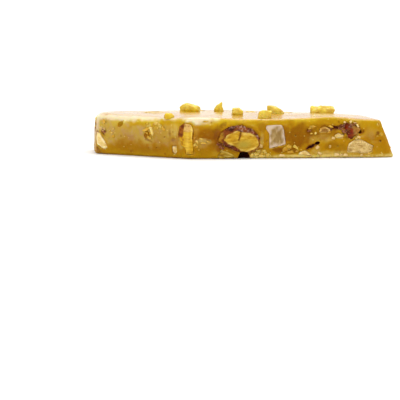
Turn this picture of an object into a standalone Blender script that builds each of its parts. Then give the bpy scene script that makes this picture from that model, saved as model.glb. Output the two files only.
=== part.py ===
"""Almond toffee: one piece broken off a poured slab, with chopped almonds set in it.

Metres, +Z up. The piece rests on z = 0, centred on the origin, with its long broken face towards -Y.
"""

import math
import random
from collections import namedtuple

import bmesh
import bpy
from mathutils import Matrix, Vector, noise

MM = 0.001

# The broken outline, anticlockwise seen from above: where each corner's foot and top lie (x, y), how far its
# top edge is rounded, and how far the break wanders from a straight line there, all in millimetres. Wall i
# runs from corner i to the next one, and "left" is the slab's own poured rim, which is rounder than a break.
Corner = namedtuple("Corner", "wall foot top rim wander")
CORNERS = [
    Corner("front", (-15.0, -29.0), (-15.1, -28.7), 0.6, 0.3),
    Corner("right", (48.2, -23.6), (43.6, -23.4), 0.4, 0.5),
    Corner("back_right", (43.9, -3.0), (40.9, -2.2), 0.45, 2.4),
    Corner("back", (24.4, 18.0), (23.0, 16.6), 0.45, 3.0),
    Corner("back_left", (-3.6, 29.0), (-3.6, 27.6), 0.5, 2.4),
    Corner("left_back", (-32.6, 22.0), (-31.6, 21.0), 1.0, 2.6),
    Corner("left", (-48.0, 4.0), (-47.0, 4.0), 2.6, 0.9),
    Corner("front_left", (-45.5, -11.4), (-44.3, -12.1), 2.2, 0.5),
]
THICKNESS = 12.1 * MM
THINNING = 1.0 * MM
THIN_FROM, THIN_TO = -15.0 * MM, 47.0 * MM
FOOT_ROUND = 0.45 * MM
OUTLINE_STEP = 2.0 * MM
WALL_RINGS = 5
RIM_RINGS = 2
TOP_RINGS = [0.88, 0.70, 0.48, 0.24]

# Waves of the break on the walls, how long and how upright its wandering is, and the slow swell of the top.
WANDER_LENGTH = 13.0 * MM
WANDER_UPRIGHT = 0.35
LEAN_STEP = 0.8 * MM
RIPPLE_DEPTH = 0.30 * MM
RIPPLE_LENGTH = 7.5 * MM
SWELL_HEIGHT = 0.35 * MM
SWELL_LENGTH = 19.0 * MM

# The top also rises towards the back, by BACK_RISE in all, and in broad humps: where their middle is (x, y), how
# wide they are each way and how high.
BACK_RISE = 0.75 * MM
BACK_FROM, BACK_TO = -26.0 * MM, -4.0 * MM
Hump = namedtuple("Hump", "x y width depth height")
HUMPS = [
    Hump(29.0, -22.0, 8.5, 36.0, 0.95),
    Hump(-47.0, -12.0, 9.0, 12.0, 0.40),
]

# A nut stands out of a wall by PROUD, with GAP of room all round it. One in the underside stays clear of
# the table, and one in the top is nearly flush.
GAP = 0.30 * MM
PROUD = 0.45 * MM
PROUD_TOP = 0.30 * MM
PROUD_UNDERSIDE = -0.25 * MM
NUT_RIM = 0.25 * MM
MOUTH_RIMS = 2
NUT_ROUGHNESS = 0.10 * MM
# A nut swells and then narrows towards its back: how deep, as a share of its depth, and how wide it is there.
NUT_BACK = [(0.45, 1.04), (0.80, 0.86), (1.0, 0.55)]
# A pocket opens past the wall by this much, so that nothing closes over its nut.
MOUTH_REACH = 1.2 * MM
MOST_GROWTH = 1.6

Finish = namedtuple("Finish", "slot colour roughness")
TOFFEE = Finish("toffee", (0.56, 0.27, 0.022), 0.3)
ALMOND = Finish("almond", (0.72, 0.50, 0.22), 0.6)
GOLDEN = Finish("golden_almond", (0.62, 0.36, 0.06), 0.5)
SKIN = Finish("almond_skin", (0.16, 0.045, 0.018), 0.6)

# Outlines of the nuts that the long face cuts through, in millimetres from their centres, x to the right
# seen from outside and y up.
KERNEL = [
    (-6.6, -0.1), (-6.0, 1.9), (-3.7, 3.9), (0.1, 4.4), (3.5, 3.4), (5.9, 0.6), (6.0, -1.8), (4.4, -3.2),
    (2.0, -3.6), (-1.0, -3.2), (-4.6, -1.8),
]
UPRIGHT = [
    (-2.8, 3.2), (-1.4, 4.1), (0.5, 3.9), (1.4, 1.9), (1.2, -0.8), (1.3, -4.7), (-0.8, -4.8), (-1.1, -2.9),
    (-2.4, -2.4), (-3.1, 0.6),
]
SQUARE = [(-3.3, 2.6), (-2.6, 3.3), (1.7, 3.4), (2.4, 2.6), (3.3, -2.4), (-1.8, -3.8), (-2.1, 0.9)]
DOME = [
    (-4.6, -1.6), (-3.9, 0.9), (-2.3, 2.2), (0.1, 2.3), (2.1, 1.2), (4.0, 0.2), (3.9, -1.4), (2.0, -2.1),
    (-1.0, -1.8),
]
CORNER_WEDGE = [(-2.3, 3.3), (-0.7, 2.6), (1.9, -0.5), (2.3, -1.8), (1.2, -2.8), (-2.1, -0.9)]
FOOT_BLOCK = [(-2.8, -1.3), (-1.7, 0.1), (-2.1, 1.2), (0.2, 0.3), (2.2, -0.6), (2.6, -1.3)]
FOOT_WEDGE = [(-2.6, -0.6), (-1.4, 0.5), (0.2, 0.9), (1.3, 0.3), (2.6, -1.0)]
ARC = [(-2.0, -0.8), (-1.4, 0.4), (0.0, 0.9), (1.5, 0.4), (1.9, -0.6)]
SLIVER = [(-1.7, 0.2), (-0.6, 1.0), (1.3, 0.6), (1.4, -0.5), (0.1, -0.9), (-1.1, -0.6)]
SKIN_HEAP = [
    (-2.9, 1.6), (-1.0, 2.2), (1.5, 1.8), (2.9, 0.6), (2.2, -1.2), (0.5, -2.6), (-0.7, -2.2), (-1.4, -0.2),
]
SPLINTER = [(-0.8, 1.3), (0.8, 1.2), (0.9, -0.4), (-0.2, -1.4), (-0.9, -0.5)]

Nut = namedtuple("Nut", "name wall along up turn swing outline depth finish")

# Where each round hollow of a burst bubble or a lost crumb is: wall, along and up it, then width, height
# and depth, and its turn. All in millimetres and degrees.
Hollow = namedtuple("Hollow", "wall along up width height depth turn")
HOLLOWS = [
    Hollow("front", 16.6, 0.2, 3.8, 4.2, 3.4, 0),
    Hollow("front", 51.9, 7.8, 1.3, 1.3, 1.4, 0),
    Hollow("front", 37.0, 3.5, 4.2, 1.0, 1.8, 22),
    Hollow("front_left", 9.2, 9.2, 2.6, 1.3, 1.8, 28),
    Hollow("front_left", 20.2, 6.6, 2.2, 2.8, 0.8, -20),
    Hollow("right", 15.5, 8.0, 1.4, 1.3, 1.4, 0),
    Hollow("back_right", 14.0, 9.0, 1.3, 1.3, 1.4, 0),
    Hollow("back_right", 16.0, 0.3, 4.2, 2.6, 2.0, 0),
    Hollow("back", 10.5, 9.4, 1.4, 1.2, 1.4, 0),
    Hollow("back_left", 15.0, 8.8, 1.5, 1.4, 1.6, 0),
    Hollow("back_left", 5.0, 11.7, 3.6, 1.6, 1.2, 0),
    Hollow("left_back", 14.6, 8.6, 1.6, 1.1, 1.4, 15),
]

# Chips of toffee and nut that lie fused on the top: x, y, length, width, the heights of the two ends and the
# turn, in millimetres and degrees.
Chip = namedtuple("Chip", "x y length width left right turn")
CHIPS = [
    Chip(-15.2, 8.8, 6.4, 3.2, 3.5, 1.5, -14),
    Chip(-4.9, 15.8, 2.6, 2.0, 1.5, 3.7, 20),
    Chip(0.4, -9.8, 3.0, 2.2, 2.1, 2.2, 8),
    Chip(8.2, -21.6, 3.9, 2.4, 2.2, 2.0, -4),
    Chip(13.4, -2.6, 4.8, 2.8, 2.7, 1.6, -22),
    Chip(29.5, 0.5, 7.6, 3.0, 2.3, 2.2, 6),
    Chip(-21.0, -24.4, 2.8, 2.0, 1.4, 1.1, 20),
]
CHIP_SINK = 0.45 * MM
# A chip starts as a block of side 1. How many corners are struck off it, how far out, how steeply at least
# and at most, and how uneven it is.
CHIP_CUTS = 3
CUT_REACH = 0.46
CUT_STEEPNESS = (0.4, 1.1)
CHIP_ROUGHNESS = 0.05

Station = namedtuple("Station", "foot top height rim wander inward")


def clear_scene():
    for obj in list(bpy.data.objects):
        bpy.data.objects.remove(obj)


def material(finish):
    made = bpy.data.materials.new(finish.slot)
    made.use_nodes = True
    shader = made.node_tree.nodes["Principled BSDF"]
    shader.inputs["Base Color"].default_value = (*finish.colour, 1)
    shader.inputs["Roughness"].default_value = finish.roughness
    shader.inputs["Metallic"].default_value = 0
    return made


def oval(width, height, points=11, flat=0.0):
    """A kernel's cut outline. A flat of 1 makes the lower half straight, as in half a kernel."""
    outline = []
    for i in range(points):
        angle = math.tau * i / points
        drop = 1 - flat if math.sin(angle) < 0 else 1
        outline.append((width / 2 * math.cos(angle), height / 2 * math.sin(angle) * drop))
    return outline


def chopped(width, height, points, seed):
    """An irregular cut outline with straight sides."""
    draw = random.Random(seed)
    outline = []
    for i in range(points):
        angle = math.tau * (i + draw.uniform(-0.25, 0.25)) / points
        reach = draw.uniform(0.82, 1.12)
        outline.append((width / 2 * reach * math.cos(angle), height / 2 * reach * math.sin(angle)))
    return outline


def nuts():
    """Every almond piece: those of the long face as they lie there, and more of the same all round."""
    return [
        Nut("kernel_cut", "front", 15.4, 5.5, 0, 0, KERNEL, 7.5, GOLDEN),
        Nut("upright_piece", "front", 0.1, 6.3, 0, -19, UPRIGHT, 4.2, GOLDEN),
        Nut("square_piece", "front", 26.1, 6.6, 0, 0, SQUARE, 5.0, ALMOND),
        Nut("dome_piece", "front", 52.2, 3.3, 0, 0, DOME, 4.5, ALMOND),
        Nut("corner_wedge", "front_left", 3.0, 4.1, 0, 0, CORNER_WEDGE, 3.5, ALMOND),
        Nut("foot_block", "front", 11.2, 1.75, 0, 0, FOOT_BLOCK, 3.2, ALMOND),
        Nut("foot_wedge", "front", 35.0, 1.5, 0, 0, FOOT_WEDGE, 3.2, ALMOND),
        Nut("arc_piece", "front", 41.0, 8.5, 0, 0, ARC, 2.8, ALMOND),
        Nut("sliver_piece", "front", 45.6, 6.6, 0, 0, SLIVER, 2.8, ALMOND),
        Nut("skin_heap", "front", 48.9, 8.2, 0, 0, SKIN_HEAP, 2.6, SKIN),
        Nut("splinter_piece", "front_left", 30.4, 2.4, 0, 0, SPLINTER, 2.2, ALMOND),
        Nut("right_half", "right", 8.6, 5.6, 12, 0, oval(8.4, 6.2, flat=0.6), 5.0, ALMOND),
        Nut("right_bit", "right", 16.4, 3.4, -10, 0, chopped(4.2, 3.4, 6, 3), 3.4, ALMOND),
        Nut("back_right_kernel", "back_right", 8.6, 5.8, -20, 0, oval(11.0, 6.8), 6.0, GOLDEN),
        Nut("back_right_bit", "back_right", 20.6, 6.2, 15, 0, chopped(5.2, 4.6, 6, 8), 4.0, ALMOND),
        Nut("back_slice", "back", 6.4, 4.6, 24, 0, oval(8.6, 4.2, flat=0.4), 4.0, ALMOND),
        Nut("back_block", "back", 16.6, 6.6, -8, 0, chopped(4.8, 5.4, 5, 5), 4.5, ALMOND),
        Nut("back_half", "back", 24.6, 4.2, -14, 0, oval(7.6, 5.0, flat=0.7), 4.5, GOLDEN),
        Nut("back_left_kernel", "back_left", 8.0, 5.6, 10, 0, oval(9.6, 6.6), 6.0, GOLDEN),
        Nut("back_left_bit", "back_left", 21.6, 5.4, 0, 0, chopped(5.4, 3.8, 6, 12), 3.6, ALMOND),
        Nut("left_back_half", "left_back", 7.0, 5.2, -12, 0, oval(8.0, 5.4, flat=0.5), 4.5, ALMOND),
        Nut("left_back_bit", "left_back", 15.6, 4.2, 30, 0, chopped(3.8, 3.0, 5, 6), 3.0, ALMOND),
        Nut("top_flake", "top", -26.0, -4.0, 25, 0, oval(9.0, 4.4), 2.6, ALMOND),
        Nut("top_square", "top", 6.0, 8.0, -30, 0, chopped(5.4, 4.4, 5, 21), 2.8, ALMOND),
        Nut("top_half", "top", 19.5, 10.5, 60, 0, oval(7.6, 4.8, flat=0.5), 2.6, ALMOND),
        Nut("top_bit", "top", -12.0, 17.5, 10, 0, chopped(4.2, 3.2, 6, 17), 2.4, ALMOND),
        Nut("underside_half", "underside", -20.0, 2.0, 40, 0, oval(9.2, 6.0, flat=0.4), 2.6, ALMOND),
        Nut("underside_bit", "underside", 14.0, 3.0, -20, 0, chopped(5.0, 4.0, 6, 31), 2.4, ALMOND),
    ]


def point_on(corner, next_corner, share, field):
    start = Vector(getattr(corner, field)) * MM
    end = Vector(getattr(next_corner, field)) * MM
    return start.lerp(end, share)


def rounded_loop(points):
    """Takes the point off each corner of a closed loop by averaging every point with its neighbours."""
    count = len(points)
    return [(points[i - 1] + points[i] * 2 + points[(i + 1) % count]) / 4 for i in range(count)]


def outline_stations(step):
    """The places round the outline where the walls are measured, one every step."""
    feet, tops, rims, wanders = [], [], [], []
    for corner, following in zip(CORNERS, CORNERS[1:] + CORNERS[:1]):
        length = (Vector(following.foot) - Vector(corner.foot)).length * MM
        count = max(2, round(length / step))
        for i in range(count):
            share = i / count
            feet.append(point_on(corner, following, share, "foot"))
            tops.append(point_on(corner, following, share, "top"))
            rims.append((corner.rim + (following.rim - corner.rim) * share) * MM)
            wanders.append((corner.wander + (following.wander - corner.wander) * share) * MM)
    feet, tops = rounded_loop(feet), rounded_loop(tops)
    stations = []
    for i, foot in enumerate(feet):
        along = feet[(i + 1) % len(feet)] - feet[i - 1]
        inward = Vector((-along.y, along.x)).normalized()
        stations.append(Station(foot, tops[i], top_level(tops[i]), rims[i], wanders[i], inward))
    return stations


def wandering(place):
    """How far the break wanders out at a place, as a share of the most it does there."""
    return noise.noise(Vector((place.x, place.y, place.z * WANDER_UPRIGHT)) / WANDER_LENGTH)


def ripple(place):
    """How far the break stands out at a place, from slow and quick waves."""
    spot = place / RIPPLE_LENGTH
    return RIPPLE_DEPTH * (noise.noise(spot) + 0.5 * noise.noise(spot * 2.3))


def top_level(place):
    """The height of the poured top: it swells slowly, thins to the right, and rises to the back and in humps."""
    spot = Vector((place.x, place.y, 0)) / SWELL_LENGTH
    thinned = min(1, max(0, (place.x - THIN_FROM) / (THIN_TO - THIN_FROM)))
    raised = min(1, max(0, (place.y - BACK_FROM) / (BACK_TO - BACK_FROM)))
    level = THICKNESS - THINNING * thinned + BACK_RISE * raised * raised * (3 - 2 * raised)
    for hump in HUMPS:
        x, y = (place.x / MM - hump.x) / hump.width, (place.y / MM - hump.y) / hump.depth
        level += hump.height * MM * math.exp(-x * x - y * y)
    return level + SWELL_HEIGHT * noise.noise(spot)


def wall_point(station, height, inset):
    """A point of the wall at a height, moved in by inset and in or out by the waves of the break."""
    plan = station.foot.lerp(station.top, height / station.height) + station.inward * inset
    place = Vector((plan.x, plan.y, height))
    out = ripple(place) + station.wander * wandering(place)
    return place - Vector((station.inward.x, station.inward.y, 0)) * out


def rings(stations):
    """The rings of points that make the slab, from its foot up the walls, over the rim and in to the middle."""
    yield [wall_point(s, 0, FOOT_ROUND) for s in stations]
    for k in range(WALL_RINGS + 1):
        share = k / WALL_RINGS
        yield [wall_point(s, FOOT_ROUND + (s.height - s.rim - FOOT_ROUND) * share, 0) for s in stations]
    edge = []
    for k in range(1, RIM_RINGS + 1):
        angle = math.radians(90) * k / RIM_RINGS
        turned_in, risen = 1 - math.cos(angle), math.sin(angle)
        edge = [wall_point(s, s.height - s.rim * (1 - risen), s.rim * turned_in) for s in stations]
        yield edge
    middle = sum(edge, Vector()) / len(edge)
    for scale in TOP_RINGS:
        ring = [middle.lerp(point, scale) for point in edge]
        yield [Vector((point.x, point.y, top_level(point))) for point in ring]


def new_object(name, bm, surface):
    mesh = bpy.data.meshes.new(name)
    bm.to_mesh(mesh)
    bm.free()
    obj = bpy.data.objects.new(name, mesh)
    obj.data.materials.append(surface)
    bpy.context.scene.collection.objects.link(obj)
    return obj


def drawn_out(bm, end, keep):
    """Extrudes a body's end face and returns the new end. The old one stays only where it closes the body."""
    grown = bmesh.ops.extrude_face_region(bm, geom=[end])["geom"]
    if not keep:
        bmesh.ops.delete(bm, geom=[end], context="FACES_ONLY")
    return next(item for item in grown if isinstance(item, bmesh.types.BMFace))


def slab_body(toffee):
    """The poured slab, drawn up ring by ring from the outline of its foot."""
    bm = bmesh.new()
    station = bm.verts.layers.int.new("station")
    levels = rings(outline_stations(OUTLINE_STEP))
    foot = [bm.verts.new(point) for point in next(levels)]
    for i, vertex in enumerate(foot):
        vertex[station] = i
    cap = bm.faces.new(foot)
    for k, ring in enumerate(levels):
        cap = drawn_out(bm, cap, keep=k == 0)
        for vertex in cap.verts:
            vertex.co = ring[vertex[station]]
    bmesh.ops.poke(bm, faces=[cap])
    bmesh.ops.recalc_face_normals(bm, faces=bm.faces)
    return new_object("toffee_slab", bm, toffee)


def wall_frame(wall, along, up):
    """The place and directions at a spot of a wall: x along it, y up it and z straight out of it."""
    i = [corner.wall for corner in CORNERS].index(wall)
    start, end = CORNERS[i], CORNERS[(i + 1) % len(CORNERS)]
    ends = []
    for corner in (start, end):
        foot, top = Vector(corner.foot).to_3d() * MM, Vector(corner.top).to_3d() * MM
        top.z = top_level(top)
        ends.append((foot, top))
    (foot, top), (far_foot, far_top) = ends
    near, far = foot.lerp(top, up * MM / top.z), far_foot.lerp(far_top, up * MM / far_top.z)
    x = (far_foot - foot).normalized()
    share = (along * MM - (near - foot).dot(x)) / (far - near).dot(x)
    x = (far - near).normalized()
    z = x.cross(top.lerp(far_top, share) - foot.lerp(far_foot, share)).normalized()
    y = z.cross(x)
    place = near.lerp(far, share)
    wander = (start.wander + (end.wander - start.wander) * share) * MM
    lean = [(wandering(place + way * LEAN_STEP) - wandering(place - way * LEAN_STEP)) / (2 * LEAN_STEP)
            for way in (x, y)]
    place += z * wander * wandering(place)
    z = (z - (x * lean[0] + y * lean[1]) * wander).normalized()
    x = y.cross(z).normalized()
    y = z.cross(x)
    return Matrix.Translation(place) @ Matrix((x, y, z)).transposed().to_4x4()


def flat_frame(wall, x, y):
    """The same for a spot on the top or the underside."""
    if wall == "underside":
        return Matrix.Translation((x * MM, y * MM, 0)) @ Matrix.Rotation(math.pi, 4, "X")
    place = Vector((x * MM, y * MM, 0))
    return Matrix.Translation((place.x, place.y, top_level(place)))


def frame_of(nut):
    if nut.wall in ("top", "underside"):
        frame = flat_frame(nut.wall, nut.along, nut.up)
    else:
        frame = wall_frame(nut.wall, nut.along, nut.up)
    swing = Matrix.Rotation(math.radians(nut.swing), 4, "Y")
    turn = Matrix.Rotation(math.radians(nut.turn), 4, "Z")
    return frame @ swing @ turn


def nut_mesh(nut, room):
    """A cut piece of almond, its flat cut outwards and its back set in the toffee, grown all round by room."""
    proud = {"top": PROUD_TOP, "underside": PROUD_UNDERSIDE}.get(nut.wall, PROUD)
    bm = bmesh.new()
    front = bm.faces.new([bm.verts.new((x * MM, y * MM, 0)) for x, y in nut.outline])
    rim = list(front.edges)
    width_before = 1.0
    cap = front
    for level, width in NUT_BACK:
        cap = drawn_out(bm, cap, keep=cap is front)
        narrower = width / width_before
        for vertex in cap.verts:
            vertex.co = Vector((vertex.co.x * narrower, vertex.co.y * narrower, -level * nut.depth * MM))
        width_before = width
    bmesh.ops.recalc_face_normals(bm, faces=bm.faces)
    bmesh.ops.bevel(bm, geom=rim, offset=NUT_RIM, offset_type="OFFSET", segments=1, profile=0.5,
                    affect="EDGES", clamp_overlap=True, material=-1)
    draw = random.Random(nut.name)
    for vertex in bm.verts:
        wander = Vector((draw.uniform(-1, 1), draw.uniform(-1, 1), draw.uniform(-0.6, 0.3)))
        vertex.co += wander * NUT_ROUGHNESS
        vertex.co.z += proud
    bm.normal_update()
    if room:
        shifts = [(v, v.normal * room * min(v.calc_shell_factor(), MOST_GROWTH)) for v in bm.verts]
        for vertex, shift in shifts:
            mouth = vertex.co.z > proud - NUT_RIM * MOUTH_RIMS
            vertex.co += shift
            if mouth:
                vertex.co.z += MOUTH_REACH
    bmesh.ops.triangulate(bm, faces=bm.faces)
    bmesh.ops.transform(bm, matrix=frame_of(nut), verts=bm.verts)
    return bm


def hollow_mesh(hollow):
    """A rough ball that leaves the hollow of a burst bubble or a lost crumb."""
    bm = bmesh.new()
    bmesh.ops.create_icosphere(bm, subdivisions=1, radius=0.5)
    size = Vector((hollow.width, hollow.height, 2 * hollow.depth)) * MM
    frame = wall_frame(hollow.wall, hollow.along, hollow.up)
    turn = Matrix.Rotation(math.radians(hollow.turn), 4, "Z")
    bmesh.ops.transform(bm, matrix=frame @ turn @ Matrix.Diagonal((*size, 1)), verts=bm.verts)
    return bm


def chip_mesh(chip, seed):
    """A broken chip: a block with its corners struck off, sunk a little into the top."""
    draw = random.Random(seed)
    bm = bmesh.new()
    bmesh.ops.create_cube(bm, size=1)
    for _ in range(CHIP_CUTS):
        turn = draw.uniform(0, math.tau)
        normal = Vector((math.cos(turn), math.sin(turn), draw.uniform(*CUT_STEEPNESS))).normalized()
        cut = bmesh.ops.bisect_plane(bm, geom=bm.verts[:] + bm.edges[:] + bm.faces[:],
                                     plane_co=normal * CUT_REACH, plane_no=normal, clear_outer=True)
        edges = [item for item in cut["geom_cut"] if isinstance(item, bmesh.types.BMEdge)]
        bmesh.ops.holes_fill(bm, edges=edges, sides=0)
    for vertex in bm.verts:
        vertex.co += Vector([draw.uniform(-CHIP_ROUGHNESS, CHIP_ROUGHNESS) for _ in range(3)])
    bmesh.ops.delete(bm, geom=bm.edges[:] + bm.faces[:], context="EDGES_FACES")
    hull = bmesh.ops.convex_hull(bm, input=bm.verts)
    bmesh.ops.delete(bm, geom=hull["geom_interior"], context="VERTS")
    bmesh.ops.recalc_face_normals(bm, faces=bm.faces)
    for vertex in bm.verts:
        height = (chip.left + (chip.right - chip.left) * (vertex.co.x + 0.5)) * MM
        vertex.co.z = (vertex.co.z + 0.5) * (height + CHIP_SINK) - CHIP_SINK
    turn = Matrix.Rotation(math.radians(chip.turn), 4, "Z")
    size = Matrix.Diagonal((chip.length * MM, chip.width * MM, 1, 1))
    bmesh.ops.transform(bm, matrix=flat_frame("top", chip.x, chip.y) @ turn @ size, verts=bm.verts)
    return bm


def collect(name, objects):
    """Moves helper objects into a collection of their own, which a Boolean can take as one."""
    group = bpy.data.collections.new(name)
    bpy.context.scene.collection.children.link(group)
    for obj in objects:
        bpy.context.scene.collection.objects.unlink(obj)
        group.objects.link(obj)
        obj.hide_render = True
        obj.display_type = "WIRE"
    return group


def apply_boolean(body, operation, group):
    """Joins or cuts the body with all of a collection, then removes the collection's objects."""
    step = body.modifiers.new(operation.lower(), "BOOLEAN")
    step.operation = operation
    step.operand_type = "COLLECTION"
    step.collection = group
    step.solver = "EXACT"
    graph = bpy.context.evaluated_depsgraph_get()
    made = bpy.data.meshes.new_from_object(body.evaluated_get(graph))
    body.modifiers.clear()
    body.data = made
    for obj in list(group.objects):
        bpy.data.objects.remove(obj)
    bpy.data.collections.remove(group)


def keep_largest_body(mesh):
    """Drops loose scraps, and fills a hollow that the fusing has sealed."""
    bm = bmesh.new()
    bm.from_mesh(mesh)
    unseen = set(bm.verts)
    bodies = []
    while unseen:
        body = {unseen.pop()}
        edge_of_it = list(body)
        while edge_of_it:
            vertex = edge_of_it.pop()
            met = {edge.other_vert(vertex) for edge in vertex.link_edges} & unseen
            unseen -= met
            body |= met
            edge_of_it.extend(met)
        bodies.append(body)
    bodies.sort(key=len)
    for body in bodies[:-1]:
        bmesh.ops.delete(bm, geom=list(body), context="VERTS")
    bm.to_mesh(mesh)
    bm.free()


def centre_on_origin(objects):
    """Moves everything so that the middle of the whole piece's underside is the origin."""
    points = [obj.matrix_world @ v.co for obj in objects for v in obj.data.vertices]
    low = Vector([min(p[i] for p in points) for i in range(3)])
    high = Vector([max(p[i] for p in points) for i in range(3)])
    shift = Vector((-(low.x + high.x) / 2, -(low.y + high.y) / 2, -low.z))
    for obj in objects:
        obj.data.transform(Matrix.Translation(shift))


def build():
    clear_scene()
    materials = {finish: material(finish) for finish in (TOFFEE, ALMOND, GOLDEN, SKIN)}
    toffee = materials[TOFFEE]
    slab = slab_body(toffee)
    chips = [new_object(f"chip_{i}", chip_mesh(chip, i), toffee) for i, chip in enumerate(CHIPS)]
    apply_boolean(slab, "UNION", collect("chips", chips))
    cutters = [new_object("pocket_" + nut.name, nut_mesh(nut, GAP), toffee) for nut in nuts()]
    cutters += [new_object(f"hollow_{i}", hollow_mesh(hollow), toffee) for i, hollow in enumerate(HOLLOWS)]
    apply_boolean(slab, "DIFFERENCE", collect("cutters", cutters))
    keep_largest_body(slab.data)
    pieces = [slab]
    for nut in nuts():
        pieces.append(new_object(nut.name, nut_mesh(nut, 0), materials[nut.finish]))
    centre_on_origin(pieces)


build()
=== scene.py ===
"""The looks of one piece of almond toffee: the slab, the almonds set in it, the chips on it, and its crumbs.

Metres, +Z up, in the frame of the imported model. The tables are in millimetres. A place on a wall is how far
it is along the wall from its left end, seen from outside, and how far up from its foot.
"""

import math
import random
from collections import namedtuple

import bmesh
import bpy
import numpy as np
from mathutils import Matrix, Vector, noise
from mathutils.bvhtree import BVHTree
from mathutils.kdtree import KDTree


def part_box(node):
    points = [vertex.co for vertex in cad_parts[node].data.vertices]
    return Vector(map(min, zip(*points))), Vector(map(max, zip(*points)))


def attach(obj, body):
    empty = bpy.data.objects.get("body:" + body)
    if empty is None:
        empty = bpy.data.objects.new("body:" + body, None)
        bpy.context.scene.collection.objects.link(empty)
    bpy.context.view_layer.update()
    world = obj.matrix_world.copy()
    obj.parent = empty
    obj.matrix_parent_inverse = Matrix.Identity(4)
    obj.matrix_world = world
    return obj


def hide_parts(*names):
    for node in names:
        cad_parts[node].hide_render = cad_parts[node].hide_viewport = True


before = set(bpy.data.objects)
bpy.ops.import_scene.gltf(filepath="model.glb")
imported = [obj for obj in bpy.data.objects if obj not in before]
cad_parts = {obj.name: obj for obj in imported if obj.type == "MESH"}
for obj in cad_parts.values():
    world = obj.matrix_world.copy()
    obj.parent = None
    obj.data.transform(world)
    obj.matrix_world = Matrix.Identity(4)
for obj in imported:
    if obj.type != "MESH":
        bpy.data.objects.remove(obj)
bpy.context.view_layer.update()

MM = 0.001

# The broken outline, anticlockwise seen from above: where each corner's foot and top lie (x, y), how far its
# top edge is rounded, and how far the break wanders there. Wall i runs from corner i to the next one.
Corner = namedtuple("Corner", "wall foot top rim wander")
CORNERS = [
    Corner("front", (-15.0, -29.0), (-15.1, -28.7), 0.6, 0.3),
    Corner("right", (48.2, -23.6), (43.6, -23.4), 0.4, 0.5),
    Corner("back_right", (43.9, -3.0), (40.9, -2.2), 0.45, 2.4),
    Corner("back", (24.4, 18.0), (23.0, 16.6), 0.45, 3.0),
    Corner("back_left", (-3.6, 29.0), (-3.6, 27.6), 0.5, 2.4),
    Corner("left_back", (-32.6, 22.0), (-31.6, 21.0), 1.0, 2.6),
    Corner("left", (-48.0, 4.0), (-47.0, 4.0), 2.6, 0.9),
    Corner("front_left", (-45.5, -11.4), (-44.3, -12.1), 2.2, 0.5),
]
THICKNESS = 12.1 * MM
THINNING = 1.0 * MM
THIN_FROM, THIN_TO = -15.0 * MM, 47.0 * MM
FOOT_ROUND = 0.45 * MM
OUTLINE_STEP = 1.0 * MM
ROUNDING_PASSES = 4
WALL_RINGS = 10
RIM_RINGS = 4
TOP_RINGS = [0.96, 0.88, 0.76, 0.62, 0.48, 0.34, 0.20, 0.08]
WANDER_LENGTH = 13.0 * MM
WANDER_UPRIGHT = 0.35
LEAN_STEP = 0.8 * MM
RIPPLE_DEPTH = 0.30 * MM
RIPPLE_LENGTH = 7.5 * MM
SWELL_HEIGHT = 0.35 * MM
SWELL_LENGTH = 19.0 * MM

# The top also rises towards the back, by BACK_RISE in all, and in broad humps: where their middle is (x, y),
# how wide they are each way and how high.
BACK_RISE = 0.75 * MM
BACK_FROM, BACK_TO = -26.0 * MM, -4.0 * MM
Hump = namedtuple("Hump", "x y width depth height")
HUMPS = [
    Hump(29.0, -22.0, 8.5, 36.0, 0.95),
    Hump(-47.0, -12.0, 9.0, 12.0, 0.40),
]

SLAB_VOXEL, SLAB_RELAX = 0.36 * MM, 2
NUT_VOXEL, NUT_RELAX = 0.20 * MM, 2
CHIP_VOXEL, CHIP_RELAX = 0.17 * MM, 14
SHARP_EDGE = 55

# How far under the surface a nut's side is looked for, how deep the toffee drops where a nut covers it, and
# how far it climbs up a nut's side at least and at most.
PROBE_DEPTH = 0.5 * MM
UNDER_NUT = 0.95 * MM
NUT_REACH = 2.5 * MM
LEAST_CLIMB, MOST_CLIMB = 0.22 * MM, 0.55 * MM
CLIMB_REACH = 2.1 * MM

Station = namedtuple("Station", "foot top height rim wander inward")


def smooth(low, high, values):
    """0 at low and before it, 1 at high and past it, and an even curve between."""
    share = np.clip((np.asarray(values, float) - low) / (high - low), 0, 1)
    return share * share * (3 - 2 * share)


def waves(points, length, layer=0):
    """Smooth noise of about -1 to 1 at each point. Each layer is a pattern of its own."""
    shift = Vector((layer * 7.31, layer * 3.17, layer * 5.73))
    return np.array([noise.noise(Vector(p) + shift) for p in (points / length).tolist()])


def rough(points, length, octaves, layer=0):
    """Waves with finer and lower waves on them."""
    return sum(waves(points, length / 2 ** k, layer + 11 * k) / 2 ** k for k in range(octaves))


def ridges(points, length, octaves, layer=0):
    """Like rough, but with sharp crests: 1 on a crest, near 0 between them."""
    total = sum((1 - np.abs(waves(points, length / 2 ** k, layer + 11 * k)) * 2) / 2 ** k
                for k in range(octaves))
    return np.clip(total / (2 - 0.5 ** (octaves - 1)), 0, 1)


def point_on(corner, next_corner, share, field):
    """A point between two corners, at their feet or at their tops."""
    start = Vector(getattr(corner, field)) * MM
    end = Vector(getattr(next_corner, field)) * MM
    return start.lerp(end, share)


def rounded_loop(points):
    """Takes the point off each corner of a closed loop by averaging every point with its neighbours."""
    count = len(points)
    return [(points[i - 1] + points[i] * 2 + points[(i + 1) % count]) / 4 for i in range(count)]


def top_level(place):
    """The height of the poured top: it swells, thins to the right, and rises to the back and in humps."""
    spot = Vector((place.x, place.y, 0)) / SWELL_LENGTH
    thinned = min(1, max(0, (place.x - THIN_FROM) / (THIN_TO - THIN_FROM)))
    raised = min(1, max(0, (place.y - BACK_FROM) / (BACK_TO - BACK_FROM)))
    level = THICKNESS - THINNING * thinned + BACK_RISE * raised * raised * (3 - 2 * raised)
    for hump in HUMPS:
        x, y = (place.x / MM - hump.x) / hump.width, (place.y / MM - hump.y) / hump.depth
        level += hump.height * MM * math.exp(-x * x - y * y)
    return level + SWELL_HEIGHT * noise.noise(spot)


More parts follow.
